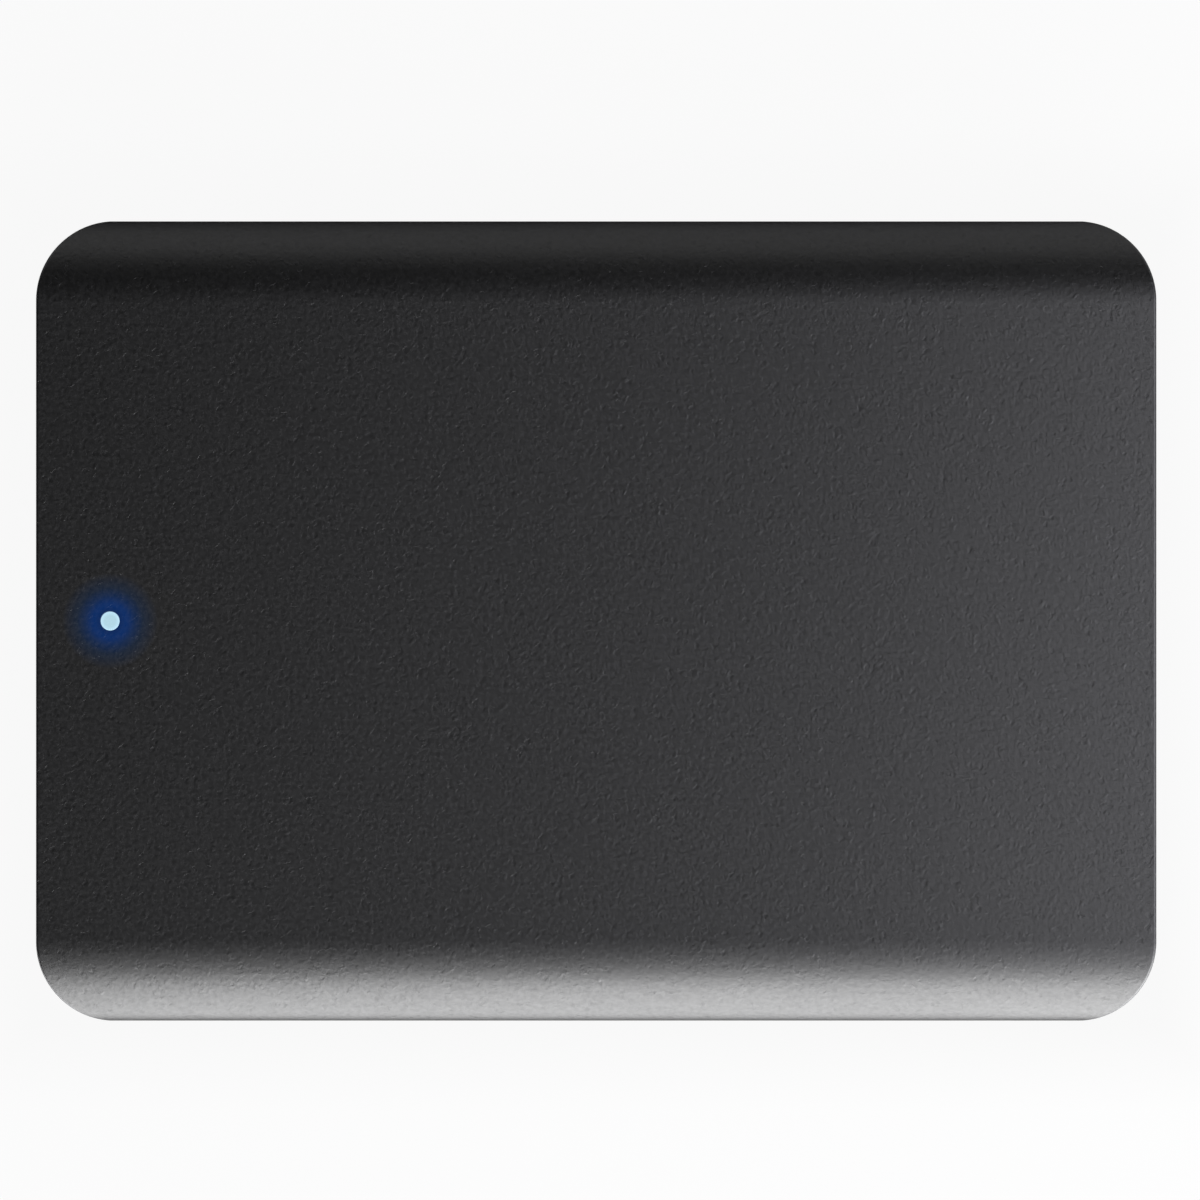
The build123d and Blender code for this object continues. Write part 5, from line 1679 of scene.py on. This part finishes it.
@dataclass
class Board(Assembly):
    """What both boards share: legs of the packages and small parts beside them. Millimetres."""

    edge: float = 0.05
    head_height: float = 0.3
    shank: float = 1.4
    screw_edge: float = 0.06
    leg: LegShape = LegShape(0.5, 0.25)
    leg_pitch: float = 0.5
    rim: Pair = (1.5, 1.5)
    margin: float = 1.4
    small_length: float = 1.0
    small_body: Triple = (0.62, 0.45, 0.322)
    small_body_edge: float = 0.02
    small_end: Triple = (0.26, 0.52, 0.37)
    small_end_edge: float = 0.05
    small_pitch: float = 1.9
    small_share: float = 0.45
    pins: PinRow = PinRow()
    seed: int = 11

    def legs(self, chip: str, pitch: float, four_sides: bool = True) -> list[Spot]:
        """Places of the legs round a package, with a margin left at the corners.

        Args:
            chip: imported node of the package.
            pitch: distance of the legs.
            four_sides: whether there are legs on all four sides.

        Returns:
            Spots whose own X points away from the package.
        """
        low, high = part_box(chip)
        middle, half = (low + high) / 2, (high - low) / 2
        spots = []
        for turn in (0.0, 90.0, 180.0, 270.0):
            ray = Vector((math.cos(math.radians(turn)), math.sin(math.radians(turn)), 0.0))
            side = Vector((-ray.y, ray.x, 0.0))
            out, wide = abs(ray.dot(half)), abs(side.dot(half))
            if not four_sides and out > wide:
                continue
            count = int((2 * wide / MM - 2 * self.leg.reach) / pitch) + 1
            for i in range(count):
                shift = (i - (count - 1) / 2) * pitch * MM
                place = middle + out * ray + shift * side
                spots.append(Spot(Vector((place.x, place.y, low.z)), (0.0, 0.0, turn)))
        return spots

    def pinned(self, place: Vector) -> list[Spot]:
        """Spots of the connector's pins across the drive, about the middle of their row."""
        return [Spot(place + Vector((0.0, y * MM, 0.0))) for y in self.pins.places()]

    def free_spots(self, low: Vector, high: Vector, taken: list[Box]) -> list[Spot]:
        """Places for small parts on a board, on a loose grid and clear of what stands there.

        Args:
            low: lowest corner of the field, on the board's face.
            high: highest corner of the field.
            taken: boxes to keep clear of.

        Returns:
            Spots on the board.
        """
        chance = random.Random(self.seed)
        step, margin, spots = self.small_pitch * MM, self.margin * MM, []
        for i in range(int((high.x - low.x) / step)):
            for j in range(int((high.y - low.y) / step)):
                place = Vector((low.x + (i + 0.5) * step, low.y + (j + 0.5) * step, low.z))
                drawn, turned = chance.random(), chance.random() < 0.5
                clear = all(
                    place.x < a.x - margin or place.x > b.x + margin
                    or place.y < a.y - margin or place.y > b.y + margin for a, b in taken
                )
                if clear and drawn < self.small_share:
                    spots.append(Spot(place, (0.0, 0.0, 90.0 if turned else 0.0)))
        return spots

    def small_parts(
        self, name: str, low: Vector, high: Vector, standing: Sequence[str], screws: str
    ) -> None:
        """Put small two-ended parts on a board.

        Args:
            name: first word of the pieces' names.
            low: lowest corner of the board's face.
            high: highest corner of the board's face.
            standing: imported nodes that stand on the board.
            screws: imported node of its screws.
        """
        taken = [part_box(node) for node in standing] + solids(screws)
        rim = Vector((*self.rim, 0.0)) * MM
        spots = self.free_spots(low + rim, high - rim, taken)
        body = brick(tuple(value * MM for value in self.small_body), self.small_body_edge * MM)
        self.repeat(f"{name}_small_parts", body, spots, "chip_black", Body.CASE)
        ends = []
        for spot in spots:
            turn = math.radians(spot.turn[2])
            ray = Vector((math.cos(turn), math.sin(turn), 0.0))
            shift = ray * (self.small_length - self.small_end[0]) * MM / 2
            ends += [Spot(spot.place + shift, spot.turn), Spot(spot.place - shift, spot.turn)]
        end = brick(tuple(value * MM for value in self.small_end), self.small_end_edge * MM)
        self.repeat(f"{name}_solder_ends", end, ends, "nickel_shell", Body.CASE)


@dataclass
class BridgeBoard(Board):
    """Board behind the port, with its chip, crystal, drive socket and screws. Millimetres."""

    can_edge: float = 0.15
    head_height: float = 0.8
    shank: float = 2.0
    screw_edge: float = 0.2
    leg: LegShape = LegShape(0.3, 0.15)
    tail: LegShape = LegShape(-0.5, 0.3, -0.05, 0.4, 0.1)
    rim: Pair = (1.0, 3.0)
    margin: float = 1.1

    def build(self) -> None:
        """Make the pieces of the board."""
        self.soften(self.edge, "green_board", Body.CASE, "bridge_board")
        self.soften(self.edge, "chip_black", Body.CASE, "bridge_chip")
        self.soften(self.can_edge, "bright_can", Body.CASE, "crystal")
        self.soften(self.edge, "connector_black", Body.CASE, "sata_socket")
        screw = ScrewShape.fitted("bridge_screws", self.head_height, self.shank, self.screw_edge)
        self.screws("bridge_board_screws", screw, Body.CASE, "bridge_screws")
        legs = self.legs("bridge_chip", self.leg_pitch)
        self.repeat("bridge_chip_legs", self.leg.make(), legs, "nickel_shell", Body.CASE)
        self.tails()
        low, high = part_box("bridge_board")
        standing = ("bridge_chip", "crystal", "usb_shell", "status_light", "light_pipe", "sata_socket")
        self.small_parts("bridge", Vector((low.x, low.y, high.z)), high, standing, "bridge_screws")

    def tails(self) -> None:
        """Solder tails of the drive socket on the edge of the board."""
        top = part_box("bridge_board")[1].z
        place = Vector((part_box("sata_socket")[0].x, middle_of("sata_socket").y, top))
        self.repeat("socket_tails", self.tail.make(), self.pinned(place), "nickel_shell", Body.CASE)


@dataclass
class ControllerBoard(Board):
    """Board under the drive with its chips, plug and screws. Millimetres."""

    plug_edge: float = 0.1
    wide_pitch: float = 1.27
    contact_width: float = 0.84
    contact_thick: float = 0.06
    contact_length: float = 4.1
    contact_tip: float = 0.3
    tongue_root: float = 1.3
    tongue_half: float = 0.6

    def build(self) -> None:
        """Make the pieces of the board."""
        chips = ("processor_chip", "driver_chip", "cache_chip")
        self.soften(self.edge, "green_board", Body.CASE, "controller_board")
        self.soften(self.edge, "chip_black", Body.CASE, *chips)
        self.soften(self.plug_edge, "connector_black", Body.CASE, "sata_plug")
        screw = ScrewShape.fitted("board_screws", self.head_height, self.shank, self.screw_edge)
        self.screws("controller_board_screws", screw, Body.CASE, "board_screws", head_up=False)
        legs = self.legs("processor_chip", self.leg_pitch) + self.legs("driver_chip", self.leg_pitch)
        legs += self.legs("cache_chip", self.wide_pitch, four_sides=False)
        self.repeat("controller_chip_legs", self.leg.make(), legs, "nickel_shell", Body.CASE)
        self.contacts()
        low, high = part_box("controller_board")
        start = Vector((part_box("sata_plug")[1].x, low.y, high.z))
        self.small_parts("controller", start, high, (*chips, "sata_plug"), "board_screws")

    def contacts(self) -> None:
        """Flat contacts on the tongues of the drive plug."""
        long, thick = self.contact_length * MM, self.contact_thick * MM
        path = [(0.0, thick / 2), (self.contact_tip * MM - long, thick / 2), (-long, 0.0)]
        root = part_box("sata_plug")[1].x - self.tongue_root * MM
        top = middle_of("bridge_board").z + self.tongue_half * MM
        place = Vector((root, middle_of("sata_plug").y, top))
        shape = strip(path, self.contact_width * MM, thick)
        self.repeat("plug_contacts", shape, self.pinned(place), "gold_contacts", Body.CASE)


@dataclass
class DriveCase(Assembly):
    """Cast base, stamped cover, seal and what is fixed inside. Millimetres."""

    base_edge: float = 0.15
    cover_edge: float = 0.12
    soft_edge: float = 0.06
    head_height: float = 0.3
    shank: float = 1.6

    def build(self) -> None:
        """Make the pieces of the casing."""
        self.soften(self.base_edge, "cast_base", Body.CASE, "drive_base")
        self.soften(self.cover_edge, "stamped_cover", Body.CASE, "drive_cover")
        self.soften(self.soft_edge, "seal", Body.CASE, "cover_gasket")
        self.soften(self.soft_edge, "filter_cloth", Body.CASE, "air_filter")
        self.soften(4 * self.soft_edge, "filter_cloth", Body.CASE, "desiccant")
        screw = ScrewShape.fitted("cover_screws", self.head_height, self.shank)
        self.screws("drive_cover_screws", screw, Body.CASE, "cover_screws")


@dataclass
class SpindleMotor(Assembly):
    """Bearing, stator and rotor of the disk's motor. Millimetres."""

    edge: float = 0.08
    teeth: int = 9
    tooth_width: float = 1.3
    wire: float = 0.17
    pitch: float = 0.175
    columns: int = 11
    layers: int = 2
    corner: float = 0.1
    slack: float = 0.01
    start_wires: float = 1.4

    def build(self) -> None:
        """Make the pieces of the motor."""
        self.soften(self.edge, "turned_steel", Body.CASE, "bearing_sleeve")
        self.soften(self.edge / 2, "lamination", Body.CASE, "stator_core")
        self.soften(self.edge, "turned_steel", Body.DISK_PACK, "spindle_shaft", "spindle_hub")
        self.soften(self.edge, "bright_can", Body.DISK_PACK, "rotor_magnet")
        self.windings()

    def windings(self) -> None:
        """Wind the coil of each tooth."""
        centre = joint_place("spindle_spin")
        low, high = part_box("stator_core")
        middle = Vector((centre.x, centre.y, (low.z + high.z) / 2))
        start = min((point.xy - centre.xy).length for point in corners_of("stator_coils")) / MM
        half_y = (self.tooth_width + self.wire) / 2 + self.slack
        half_z = ((high.z - low.z) / MM + self.wire) / 2 + self.slack
        root = math.sqrt(max(start ** 2 - half_y ** 2, 0.0)) + self.start_wires * self.wire
        corners = [(half_y, -half_z), (half_y, half_z), (-half_y, half_z), (-half_y, -half_z)]
        loop = outline(rounded(corners, self.corner))
        points, across, outward, edges = [], [], [], []
        for tooth in range(self.teeth):
            turn = 2 * math.pi * tooth / self.teeth
            ray = Vector((math.cos(turn), math.sin(turn), 0))
            side = Vector((-ray.y, ray.x, 0))
            edges += ringed(len(loop), len(points))
            for (y, z), (ny, nz) in loop:
                points.append(middle + (root * ray + y * side + Vector((0, 0, z))) * MM)
                across.append(ray)
                outward.append(ny * side + Vector((0, 0, nz)))
        loops = carrying(pathed("loops", points, edges), across=across, outward=outward)
        turns = (self.columns, self.layers)
        self.wind("stator_windings", turns, self.pitch, self.wire, loops, Body.CASE, "stator_coils")


@dataclass
class DiskPack(Assembly):
    """Disk with its clamp and screw. Millimetres."""

    disk_edge: float = 0.12
    clamp_edge: float = 0.08
    head_height: float = 0.6
    shank: float = 2.0

    def build(self) -> None:
        """Make the turning pieces."""
        self.soften(self.disk_edge, "disk_mirror", Body.DISK_PACK, "platter")
        self.soften(self.clamp_edge, "stamped_cover", Body.DISK_PACK, "disk_clamp")
        screw = ScrewShape.fitted("clamp_screw", self.head_height, self.shank)
        self.screws("disk_clamp_screw", screw, Body.DISK_PACK, "clamp_screw")


@dataclass
class HeadStack(Assembly):
    """Arm block with its coil, spring blades and heads, and the film that runs to it."""

    edge: float = 0.08
    thin_edge: float = 0.03
    coil_inner: float = 9.0
    coil_outer: float = 16.8
    coil_half_angle: float = 18.0
    coil_band: float = 2.1
    coil_slack: float = 0.01
    wire: float = 0.15
    corner: float = 0.2
    rail_start: float = 26.2
    rail_end: float = 33.5
    rail_spread: Pair = (1.0, 0.65)
    rail_width: float = 0.1
    rail_height: float = 0.2
    rail_lift: float = 0.09
    film_thick: float = 0.15
    film_end: float = 0.3
    film_bow_points: int = 8
    film_steps: int = 40
    film_grip: int = 2

    def build(self) -> None:
        """Make the swinging pieces and the film."""
        self.soften(self.edge, "stamped_cover", Body.HEAD_STACK, "arm_block")
        self.soften(self.edge, "turned_steel", Body.HEAD_STACK, "pivot_cartridge", finish="pivot_steel")
        self.soften(self.thin_edge, "turned_steel", Body.HEAD_STACK, "suspensions", finish="spring_steel")
        self.soften(self.thin_edge, "slider_ceramic", Body.HEAD_STACK, "head_sliders")
        self.soften(self.edge, "connector_black", Body.CASE, "flex_connector")
        self.soften(self.edge, "ramp_white", Body.CASE, "load_ramp")
        self.coil()
        self.rails()
        self.film()

    def rails(self) -> None:
        """Turned-up edges that stiffen the two spring blades."""
        pivot = joint_place("head_swing")
        tip = max(corners_of("suspensions"), key=lambda point: (point.xy - pivot.xy).length)
        ray = (tip.xy - pivot.xy).normalized()
        side = Vector((-ray.y, ray.x))
        low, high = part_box("suspensions")
        places = []
        for z in (low.z - self.rail_lift * MM, high.z + self.rail_lift * MM):
            for way in (-1, 1):
                for reach, half in zip((self.rail_start, self.rail_end), self.rail_spread):
                    places.append((*(pivot.xy + (reach * ray + way * half * side) * MM), z))
        paths = pathed("rail_paths", places, [(i, i + 1) for i in range(0, len(places), 2)])
        graph = RibbonGraph("blade_rails", self.rail_width * MM, self.rail_height * MM,
                            self.wardrobe["spring_steel"])
        piece = graph.run("blade_rails", paths)
        self.keep(piece, "turned_steel", Body.HEAD_STACK, finish="spring_steel")

    def coil(self) -> None:
        """Wind the flat coil, from the inside out."""
        pivot = joint_place("head_swing")
        points = corners_of("voice_coil")
        mean = sum(points, Vector()) / len(points)
        spin = Matrix.Rotation(math.atan2(mean.y - pivot.y, mean.x - pivot.x), 3, "Z")
        low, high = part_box("voice_coil")
        base = Vector((pivot.x, pivot.y, low.z + self.wire / 2 * MM))
        inset = self.coil_band - self.wire / 2
        loop = outline(sector(self.coil_inner, self.coil_outer, self.coil_half_angle, inset, self.corner))
        places = [base + spin @ Vector((*point, 0)) * MM for point, _ in loop]
        across = [spin @ Vector((*way, 0)) for _, way in loop]
        upward = [Vector((0, 0, 1))] * len(loop)
        loops = carrying(pathed("loops", places, ringed(len(loop))), across=across, outward=upward)
        rows = int((high.z - low.z) / MM / self.wire + self.coil_slack)
        turns = (int(self.coil_band / self.wire), rows)
        self.wind("voice_coil_turns", turns, self.wire, self.wire, loops, Body.HEAD_STACK, "voice_coil")

    def film_path(self, height: float) -> list[Vector]:
        """Arc of the film from its connector to the arm block.

        Args:
            height: height of the path.

        Returns:
            Points along the arc, in metres.
        """
        start = middle_of("flex_connector").xy
        points = [point.xy for point in corners_of("head_flex")]
        far = max(points, key=lambda point: (point - start).length)
        ends = [point for point in points if (point - far).length < self.film_end * MM]
        end = sum(ends, Vector((0, 0))) / len(ends)
        chord = (end - start).normalized()
        side = Vector((-chord.y, chord.x))
        bows = sorted(points, key=lambda point: -abs((point - start).dot(side)))[:self.film_bow_points]
        bow = sum(bows, Vector((0, 0))) / len(bows)
        centre, radius = circle_through(start, bow, end)
        first, last = (math.atan2(*(point - centre).yx) for point in (start, end))
        sweep = (last - first + math.pi) % (2 * math.pi) - math.pi
        path = []
        for i in range(self.film_steps + 1):
            angle = first + sweep * i / self.film_steps
            flat = centre + radius * Vector((math.cos(angle), math.sin(angle)))
            path.append(Vector((*flat, height)))
        return path

    def film(self) -> None:
        """Lay the thin film from its connector to the arm block."""
        low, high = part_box("head_flex")
        path = self.film_path((low.z + high.z) / 2)
        mesh = pathed("film_path", path, [(i, i + 1) for i in range(self.film_steps)])
        graph = RibbonGraph("film_strip", self.film_thick * MM, high.z - low.z, self.wardrobe["amber_film"])
        piece = graph.run("head_film", mesh)
        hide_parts("head_flex")
        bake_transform(piece)
        self.made[piece.name] = ("amber_film", "amber_film")
        log.info("%s: %d faces between two bodies", piece.name, len(piece.data.polygons))


@dataclass
class VoiceCoilMotor(Assembly):
    """Yokes, magnets, stops and the fixed pivot post. Millimetres."""

    edge: float = 0.1

    def build(self) -> None:
        """Make the fixed pieces round the coil."""
        self.soften(self.edge, "lamination", Body.CASE, "lower_yoke", "upper_yoke", finish="plated_yoke")
        self.soften(self.edge, "bright_can", Body.CASE, "lower_magnet", "upper_magnet")
        self.soften(self.edge, "soft_silicone", Body.CASE, "crash_stops")
        self.soften(self.edge, "turned_steel", Body.CASE, "pivot_post", finish="pivot_steel")


@dataclass(frozen=True)
class Panel:
    """Rectangular soft light that faces a target. At level 1 its surface is white. Sizes in metres."""

    name: str
    place: Triple
    target: Triple
    size: Pair
    level: float
    tint: Colour = WHITE

    def build(self) -> None:
        """Hang the light in the scene, out of the camera's sight."""
        data = bpy.data.lights.new(self.name, "AREA")
        data.shape = "RECTANGLE"
        data.size, data.size_y = self.size
        data.color = self.tint
        data.energy = self.level * math.pi * self.size[0] * self.size[1]
        lamp = bpy.data.objects.new(self.name, data)
        lamp.location = self.place
        lamp.rotation_euler = (Vector(self.target) - Vector(self.place)).to_track_quat("-Z", "Y").to_euler()
        lamp.visible_camera = False
        bpy.context.scene.collection.objects.link(lamp)


@dataclass
class Studio:
    """White floor, soft panels and a camera straight above. Sizes in metres."""

    frame_width: float = 0.12012
    lens: float = 1200.0
    sensor: float = 36.0
    clip: Pair = (0.05, 20.0)
    aim: Pair = (0.00038, 0.0021)
    aim_height: float = 0.0068
    floor_half: float = 3.0
    floor_roughness: float = 0.9
    floor_specular: float = 0.1
    floor_grey: Colour = (0.6, 0.6, 0.6)
    floor_white: float = 0.935
    floor_mirrored: float = 0.092
    # painted contact shadow: distances over which the floor turns grey towards the footprint, and that grey
    contact: Pair = (0.0005, 0.009)
    painted_shadow_grey: Colour = (0.1, 0.1, 0.1)
    opening: Pair = (-0.0025, -0.0015)
    ambient: float = 0.008
    backdrop: float = 0.955
    panels: tuple[Panel, ...] = (
        Panel("front_panel", (0.215, -0.36, 0.125), (0.215, 0.0, 0.02), (0.63, 0.25), 6.7),
        Panel("upper_panel", (0.06, -0.30, 0.38), (0.06, 0.0, 0.0), (0.5, 0.2), 0.65),
        Panel("front_card", (0.215, -0.196, 0.002), (0.215, -0.196, 1.0), (0.63, 0.30), 6.3),
        Panel("side_card", (0.27, -0.196, 0.003), (0.27, -0.196, 1.0), (0.46, 0.30), 0.85),
        Panel("right_panel", (0.25, -0.12, 0.22), (0.25, -0.12, 0.0), (0.36, 0.40), 2.23,
              (0.985, 0.985, 1.05)),
        Panel("back_panel", (0.0, 0.40, 0.10), (0.0, 0.0, 0.02), (0.9, 0.24), 0.46),
        Panel("under_card", (0.0, 0.0, -0.5), (0.0, 0.0, 0.0), (2.0, 2.0), 0.8),
    )

    def camera(self) -> None:
        """Long lens straight above, so that both rolled sides are seen alike."""
        data = bpy.data.cameras.new("overhead_camera")
        data.lens, data.sensor_width = self.lens, self.sensor
        data.clip_start, data.clip_end = self.clip
        camera = bpy.data.objects.new("overhead_camera", data)
        distance = self.frame_width * self.lens / self.sensor
        camera.location = (*self.aim, self.aim_height + distance)
        bpy.context.scene.collection.objects.link(camera)
        bpy.context.scene.camera = camera

    def floor(self) -> None:
        """Lay the floor."""
        skin = Skin()
        half = self.floor_half
        corners = ((-half, -half), (half, -half), (half, half), (-half, half))
        skin.faces.append([skin.point(Vector((x, y, 0.0)), Vector((0, 0, 1))) for x, y in corners])
        floor = skin.make("studio_floor", sharp=True)
        floor.data.materials.append(self.floor_finish())

    def floor_finish(self) -> bpy.types.Material:
        """Pale finish that is white to the lens, keeps a faint shadow, carries a painted contact shadow round
        the drive's footprint that also darkens it in reflections, and is clear from below.

        Returns:
            The material.
        """
        paint = Paint("studio_floor")
        paint.set(Roughness=self.floor_roughness, Specular_IOR_Level=self.floor_specular)
        gap = self.clearance(paint)
        # painted contact shadow: the base colour turns grey towards the drive's footprint
        clear = paint.spread(gap, self.contact, UNIT)
        paint.join(paint.mix(clear, self.painted_shadow_grey, self.floor_grey), paint.surface.inputs["Base Color"])
        rays = paint.add("ShaderNodeLightPath").outputs
        mirrored = paint.combine("MULTIPLY", rays["Is Glossy Ray"], self.floor_mirrored)
        # painted shadow in reflections: the floor's glow to glossy rays fades towards the footprint
        mirrored = paint.combine("MULTIPLY", mirrored, clear)
        seen = paint.combine("MAXIMUM", rays["Is Camera Ray"], mirrored)
        seen = paint.combine("MAXIMUM", seen, rays["Is Transmission Ray"])
        white = paint.add("ShaderNodeEmission", {"Color": (*WHITE, 1.0)})
        lit = paint.add("ShaderNodeMixShader", {
            0: paint.combine("MULTIPLY", seen, self.floor_white),
            1: paint.surface.outputs["BSDF"],
            2: white.outputs["Emission"],
        })
        opened = paint.spread(gap, self.opening, TURNED_ROUND)
        hidden = paint.combine("SUBTRACT", opened, rays["Is Camera Ray"])
        behind = paint.add("ShaderNodeNewGeometry").outputs["Backfacing"]
        whole = paint.add("ShaderNodeMixShader", {
            0: paint.combine("MAXIMUM", behind, hidden),
            1: lit.outputs["Shader"],
            2: paint.add("ShaderNodeBsdfTransparent").outputs["BSDF"],
        })
        paint.join(whole.outputs["Shader"], paint.output.inputs["Surface"])
        return paint.material

    def clearance(self, paint: Paint) -> Socket:
        """How far the floor is from the drive's footprint.

        Args:
            paint: paint of the floor.

        Returns:
            The distance in metres, below 0 under the drive.
        """
        parts = paint.add("ShaderNodeSeparateXYZ", {"Vector": paint.place}).outputs
        gaps = [paint.combine("SUBTRACT", paint.combine("ABSOLUTE", parts[axis]), half)
                for axis, half in zip("XY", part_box("sleeve")[1])]
        return paint.combine("MAXIMUM", *gaps)

    def world(self) -> None:
        """Dim even room light, white where the lens sees past the floor."""
        world = bpy.data.worlds.new("studio_room")
        world.use_nodes = True
        bench = NodeBench(world.node_tree)
        rays = bench.add("ShaderNodeLightPath")
        level = bench.add("ShaderNodeMapRange", {
            "Value": rays.outputs["Is Camera Ray"],
            "To Min": self.ambient,
            "To Max": self.backdrop,
        })
        back = world.node_tree.nodes["Background"]
        back.inputs["Color"].default_value = (*WHITE, 1.0)
        bench.join(level.outputs["Result"], back.inputs["Strength"])
        bpy.context.scene.world = world

    def build(self) -> None:
        """Set up the whole studio."""
        self.camera()
        self.floor()
        self.world()
        for panel in self.panels:
            panel.build()
        bpy.context.scene.view_settings.view_transform = "Standard"


def finishes() -> list[Finish]:
    """Every finish of the drive.

    Returns:
        One finish for each material slot, and more where pieces of a slot differ.
    """
    window = tuple(middle_of("light_pipe").xy)
    spindle = tuple(middle_of("platter").xy)
    pivot = tuple(joint_place("head_swing").xy)
    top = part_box("sleeve")[1].z
    black, soot = (0.02, 0.02, 0.021), (0.026, 0.026, 0.027)
    steel, steel_dark = (0.55, 0.55, 0.54), (0.42, 0.42, 0.42)
    turned = Finish("turned_steel", steel, steel_dark, Grain.TURNED, 0.12, 0.002, (0.18, 0.3), 1.0,
                    centre=spindle)
    return [
        SleeveFinish("anodised_sleeve", (0.089, 0.089, 0.0895), (0.094, 0.094, 0.0945), Grain.BLASTED, 0.5,
                     0.018, (0.405, 0.495), 1.0, patch_mm=0.5, window=(*window, top)),
        Finish("black_cap", black, soot, Grain.MOULDED, 0.12, 0.01, (0.5, 0.57)),
        Finish("grey_tray", (0.11, 0.11, 0.115), (0.13, 0.13, 0.135), Grain.MOULDED, 0.2, 0.01, (0.4, 0.55)),
        Finish("soft_silicone", (0.15, 0.16, 0.17), (0.18, 0.19, 0.2), Grain.MOULDED, 0.15, 0.006,
               (0.55, 0.75)),
        Finish("foam", (0.05, 0.05, 0.055), (0.075, 0.075, 0.08), Grain.FOAMED, 0.5, 0.12, (0.85, 0.98)),
        Finish("foot_rubber", (0.028, 0.028, 0.029), (0.04, 0.04, 0.041), Grain.MOULDED, 0.1, 0.008,
               (0.6, 0.85)),
        LitFinish("clear_pipe", (0.18, 0.26, 0.3), (0.2, 0.28, 0.32), Grain.POLISHED, 0.3, 0.002, (0.15, 0.3),
                  centre=window),
        LitFinish("lamp", (0.75, 0.8, 0.7), (0.8, 0.85, 0.6), Grain.POLISHED, 0.2, 0.002, (0.2, 0.3),
                  centre=window, glow=(0.3, 0.55, 1.0), rim=(0.2, 0.4, 0.9)),
        BoardFinish("green_board", (0.012, 0.085, 0.035), (0.02, 0.12, 0.05), Grain.WOVEN, 0.35, 0.004,
                    (0.22, 0.35), coat=0.4),
        Finish("chip_black", black, (0.035, 0.035, 0.035), Grain.MOULDED, 0.06, 0.004, (0.5, 0.7)),
        Finish("bright_can", (0.68, 0.68, 0.66), (0.6, 0.6, 0.57), Grain.BRUSHED, 0.1, 0.001, (0.18, 0.32),
               1.0),
        Finish("connector_black", black, soot, Grain.MOULDED, 0.08, 0.004, (0.4, 0.55)),
        Finish("nickel_shell", (0.6, 0.59, 0.56), (0.52, 0.51, 0.48), Grain.BRUSHED, 0.08, 0.002, (0.2, 0.34),
               1.0),
        Finish("gold_contacts", (0.85, 0.62, 0.25), (0.75, 0.52, 0.2), Grain.BRUSHED, 0.05, 0.001,
               (0.15, 0.3), 1.0),
        Finish("screw_steel", steel_dark, (0.3, 0.3, 0.31), Grain.BRUSHED, 0.08, 0.002, (0.25, 0.42), 1.0),
        Finish("cast_base", (0.5, 0.5, 0.5), (0.485, 0.485, 0.49), Grain.BLASTED, 0.35, 0.012, (0.45, 0.5),
               1.0, patch_mm=0.8),
        Finish("stamped_cover", (0.6, 0.6, 0.595), (0.57, 0.57, 0.565), Grain.BRUSHED, 0.12, 0.002,
               (0.3, 0.36), 1.0, patch_mm=1.5),
        Finish("seal", (0.02, 0.02, 0.02), (0.03, 0.03, 0.03), Grain.MOULDED, 0.1, 0.005, (0.6, 0.8)),
        turned,
        replace(turned, variant="pivot_steel", centre=pivot),
        replace(turned, variant="spring_steel", grain=Grain.POLISHED, grain_mm=0.3, depth_mm=0.0005,
                patch_mm=2.0),
        Finish("lamination", (0.28, 0.28, 0.3), (0.2, 0.2, 0.22), Grain.STACKED, 0.2, 0.01, (0.4, 0.6), 1.0),
        Finish("lamination", (0.5, 0.5, 0.48), (0.44, 0.44, 0.42), Grain.BRUSHED, 0.1, 0.002, (0.25, 0.4),
               1.0, variant="plated_yoke"),
        Finish("copper_wire", (0.72, 0.3, 0.13), (0.6, 0.22, 0.08), Grain.POLISHED, 0.3, 0.004, (0.22, 0.36),
               1.0),
        Finish("disk_mirror", (0.78, 0.78, 0.8), (0.76, 0.76, 0.78), Grain.POLISHED, 8.0, 0.00002,
               (0.02, 0.05), 1.0),
        Finish("slider_ceramic", (0.06, 0.06, 0.065), (0.09, 0.09, 0.09), Grain.POLISHED, 0.1, 0.001,
               (0.2, 0.3)),
        Finish("ramp_white", (0.68, 0.66, 0.59), (0.72, 0.7, 0.63), Grain.MOULDED, 0.1, 0.003, (0.3, 0.45)),
        Finish("filter_cloth", (0.7, 0.7, 0.68), (0.62, 0.62, 0.6), Grain.WOVEN, 0.15, 0.02, (0.8, 0.95)),
        Finish("amber_film", (0.42, 0.16, 0.02), (0.5, 0.22, 0.03), Grain.STACKED, 0.4, 0.004, (0.2, 0.3),
               coat=0.3),
    ]


def main() -> None:
    """Build and dress the drive, then set up the studio."""
    logging.basicConfig(level=logging.INFO, format="%(name)s: %(message)s")
    wardrobe = {finish.key(): finish.build() for finish in finishes()}
    kinds: tuple[type[Assembly], ...] = (
        SleeveShell, EndCaps, Feet, LightGuide, UsbPort, BridgeBoard, Cushions, DriveCase, SpindleMotor,
        DiskPack, HeadStack, VoiceCoilMotor, ControllerBoard,
    )
    for kind in kinds:
        assembly = kind(wardrobe)
        assembly.build()
        assembly.dress()
    Studio().build()


if __name__ == "__main__":
    main()
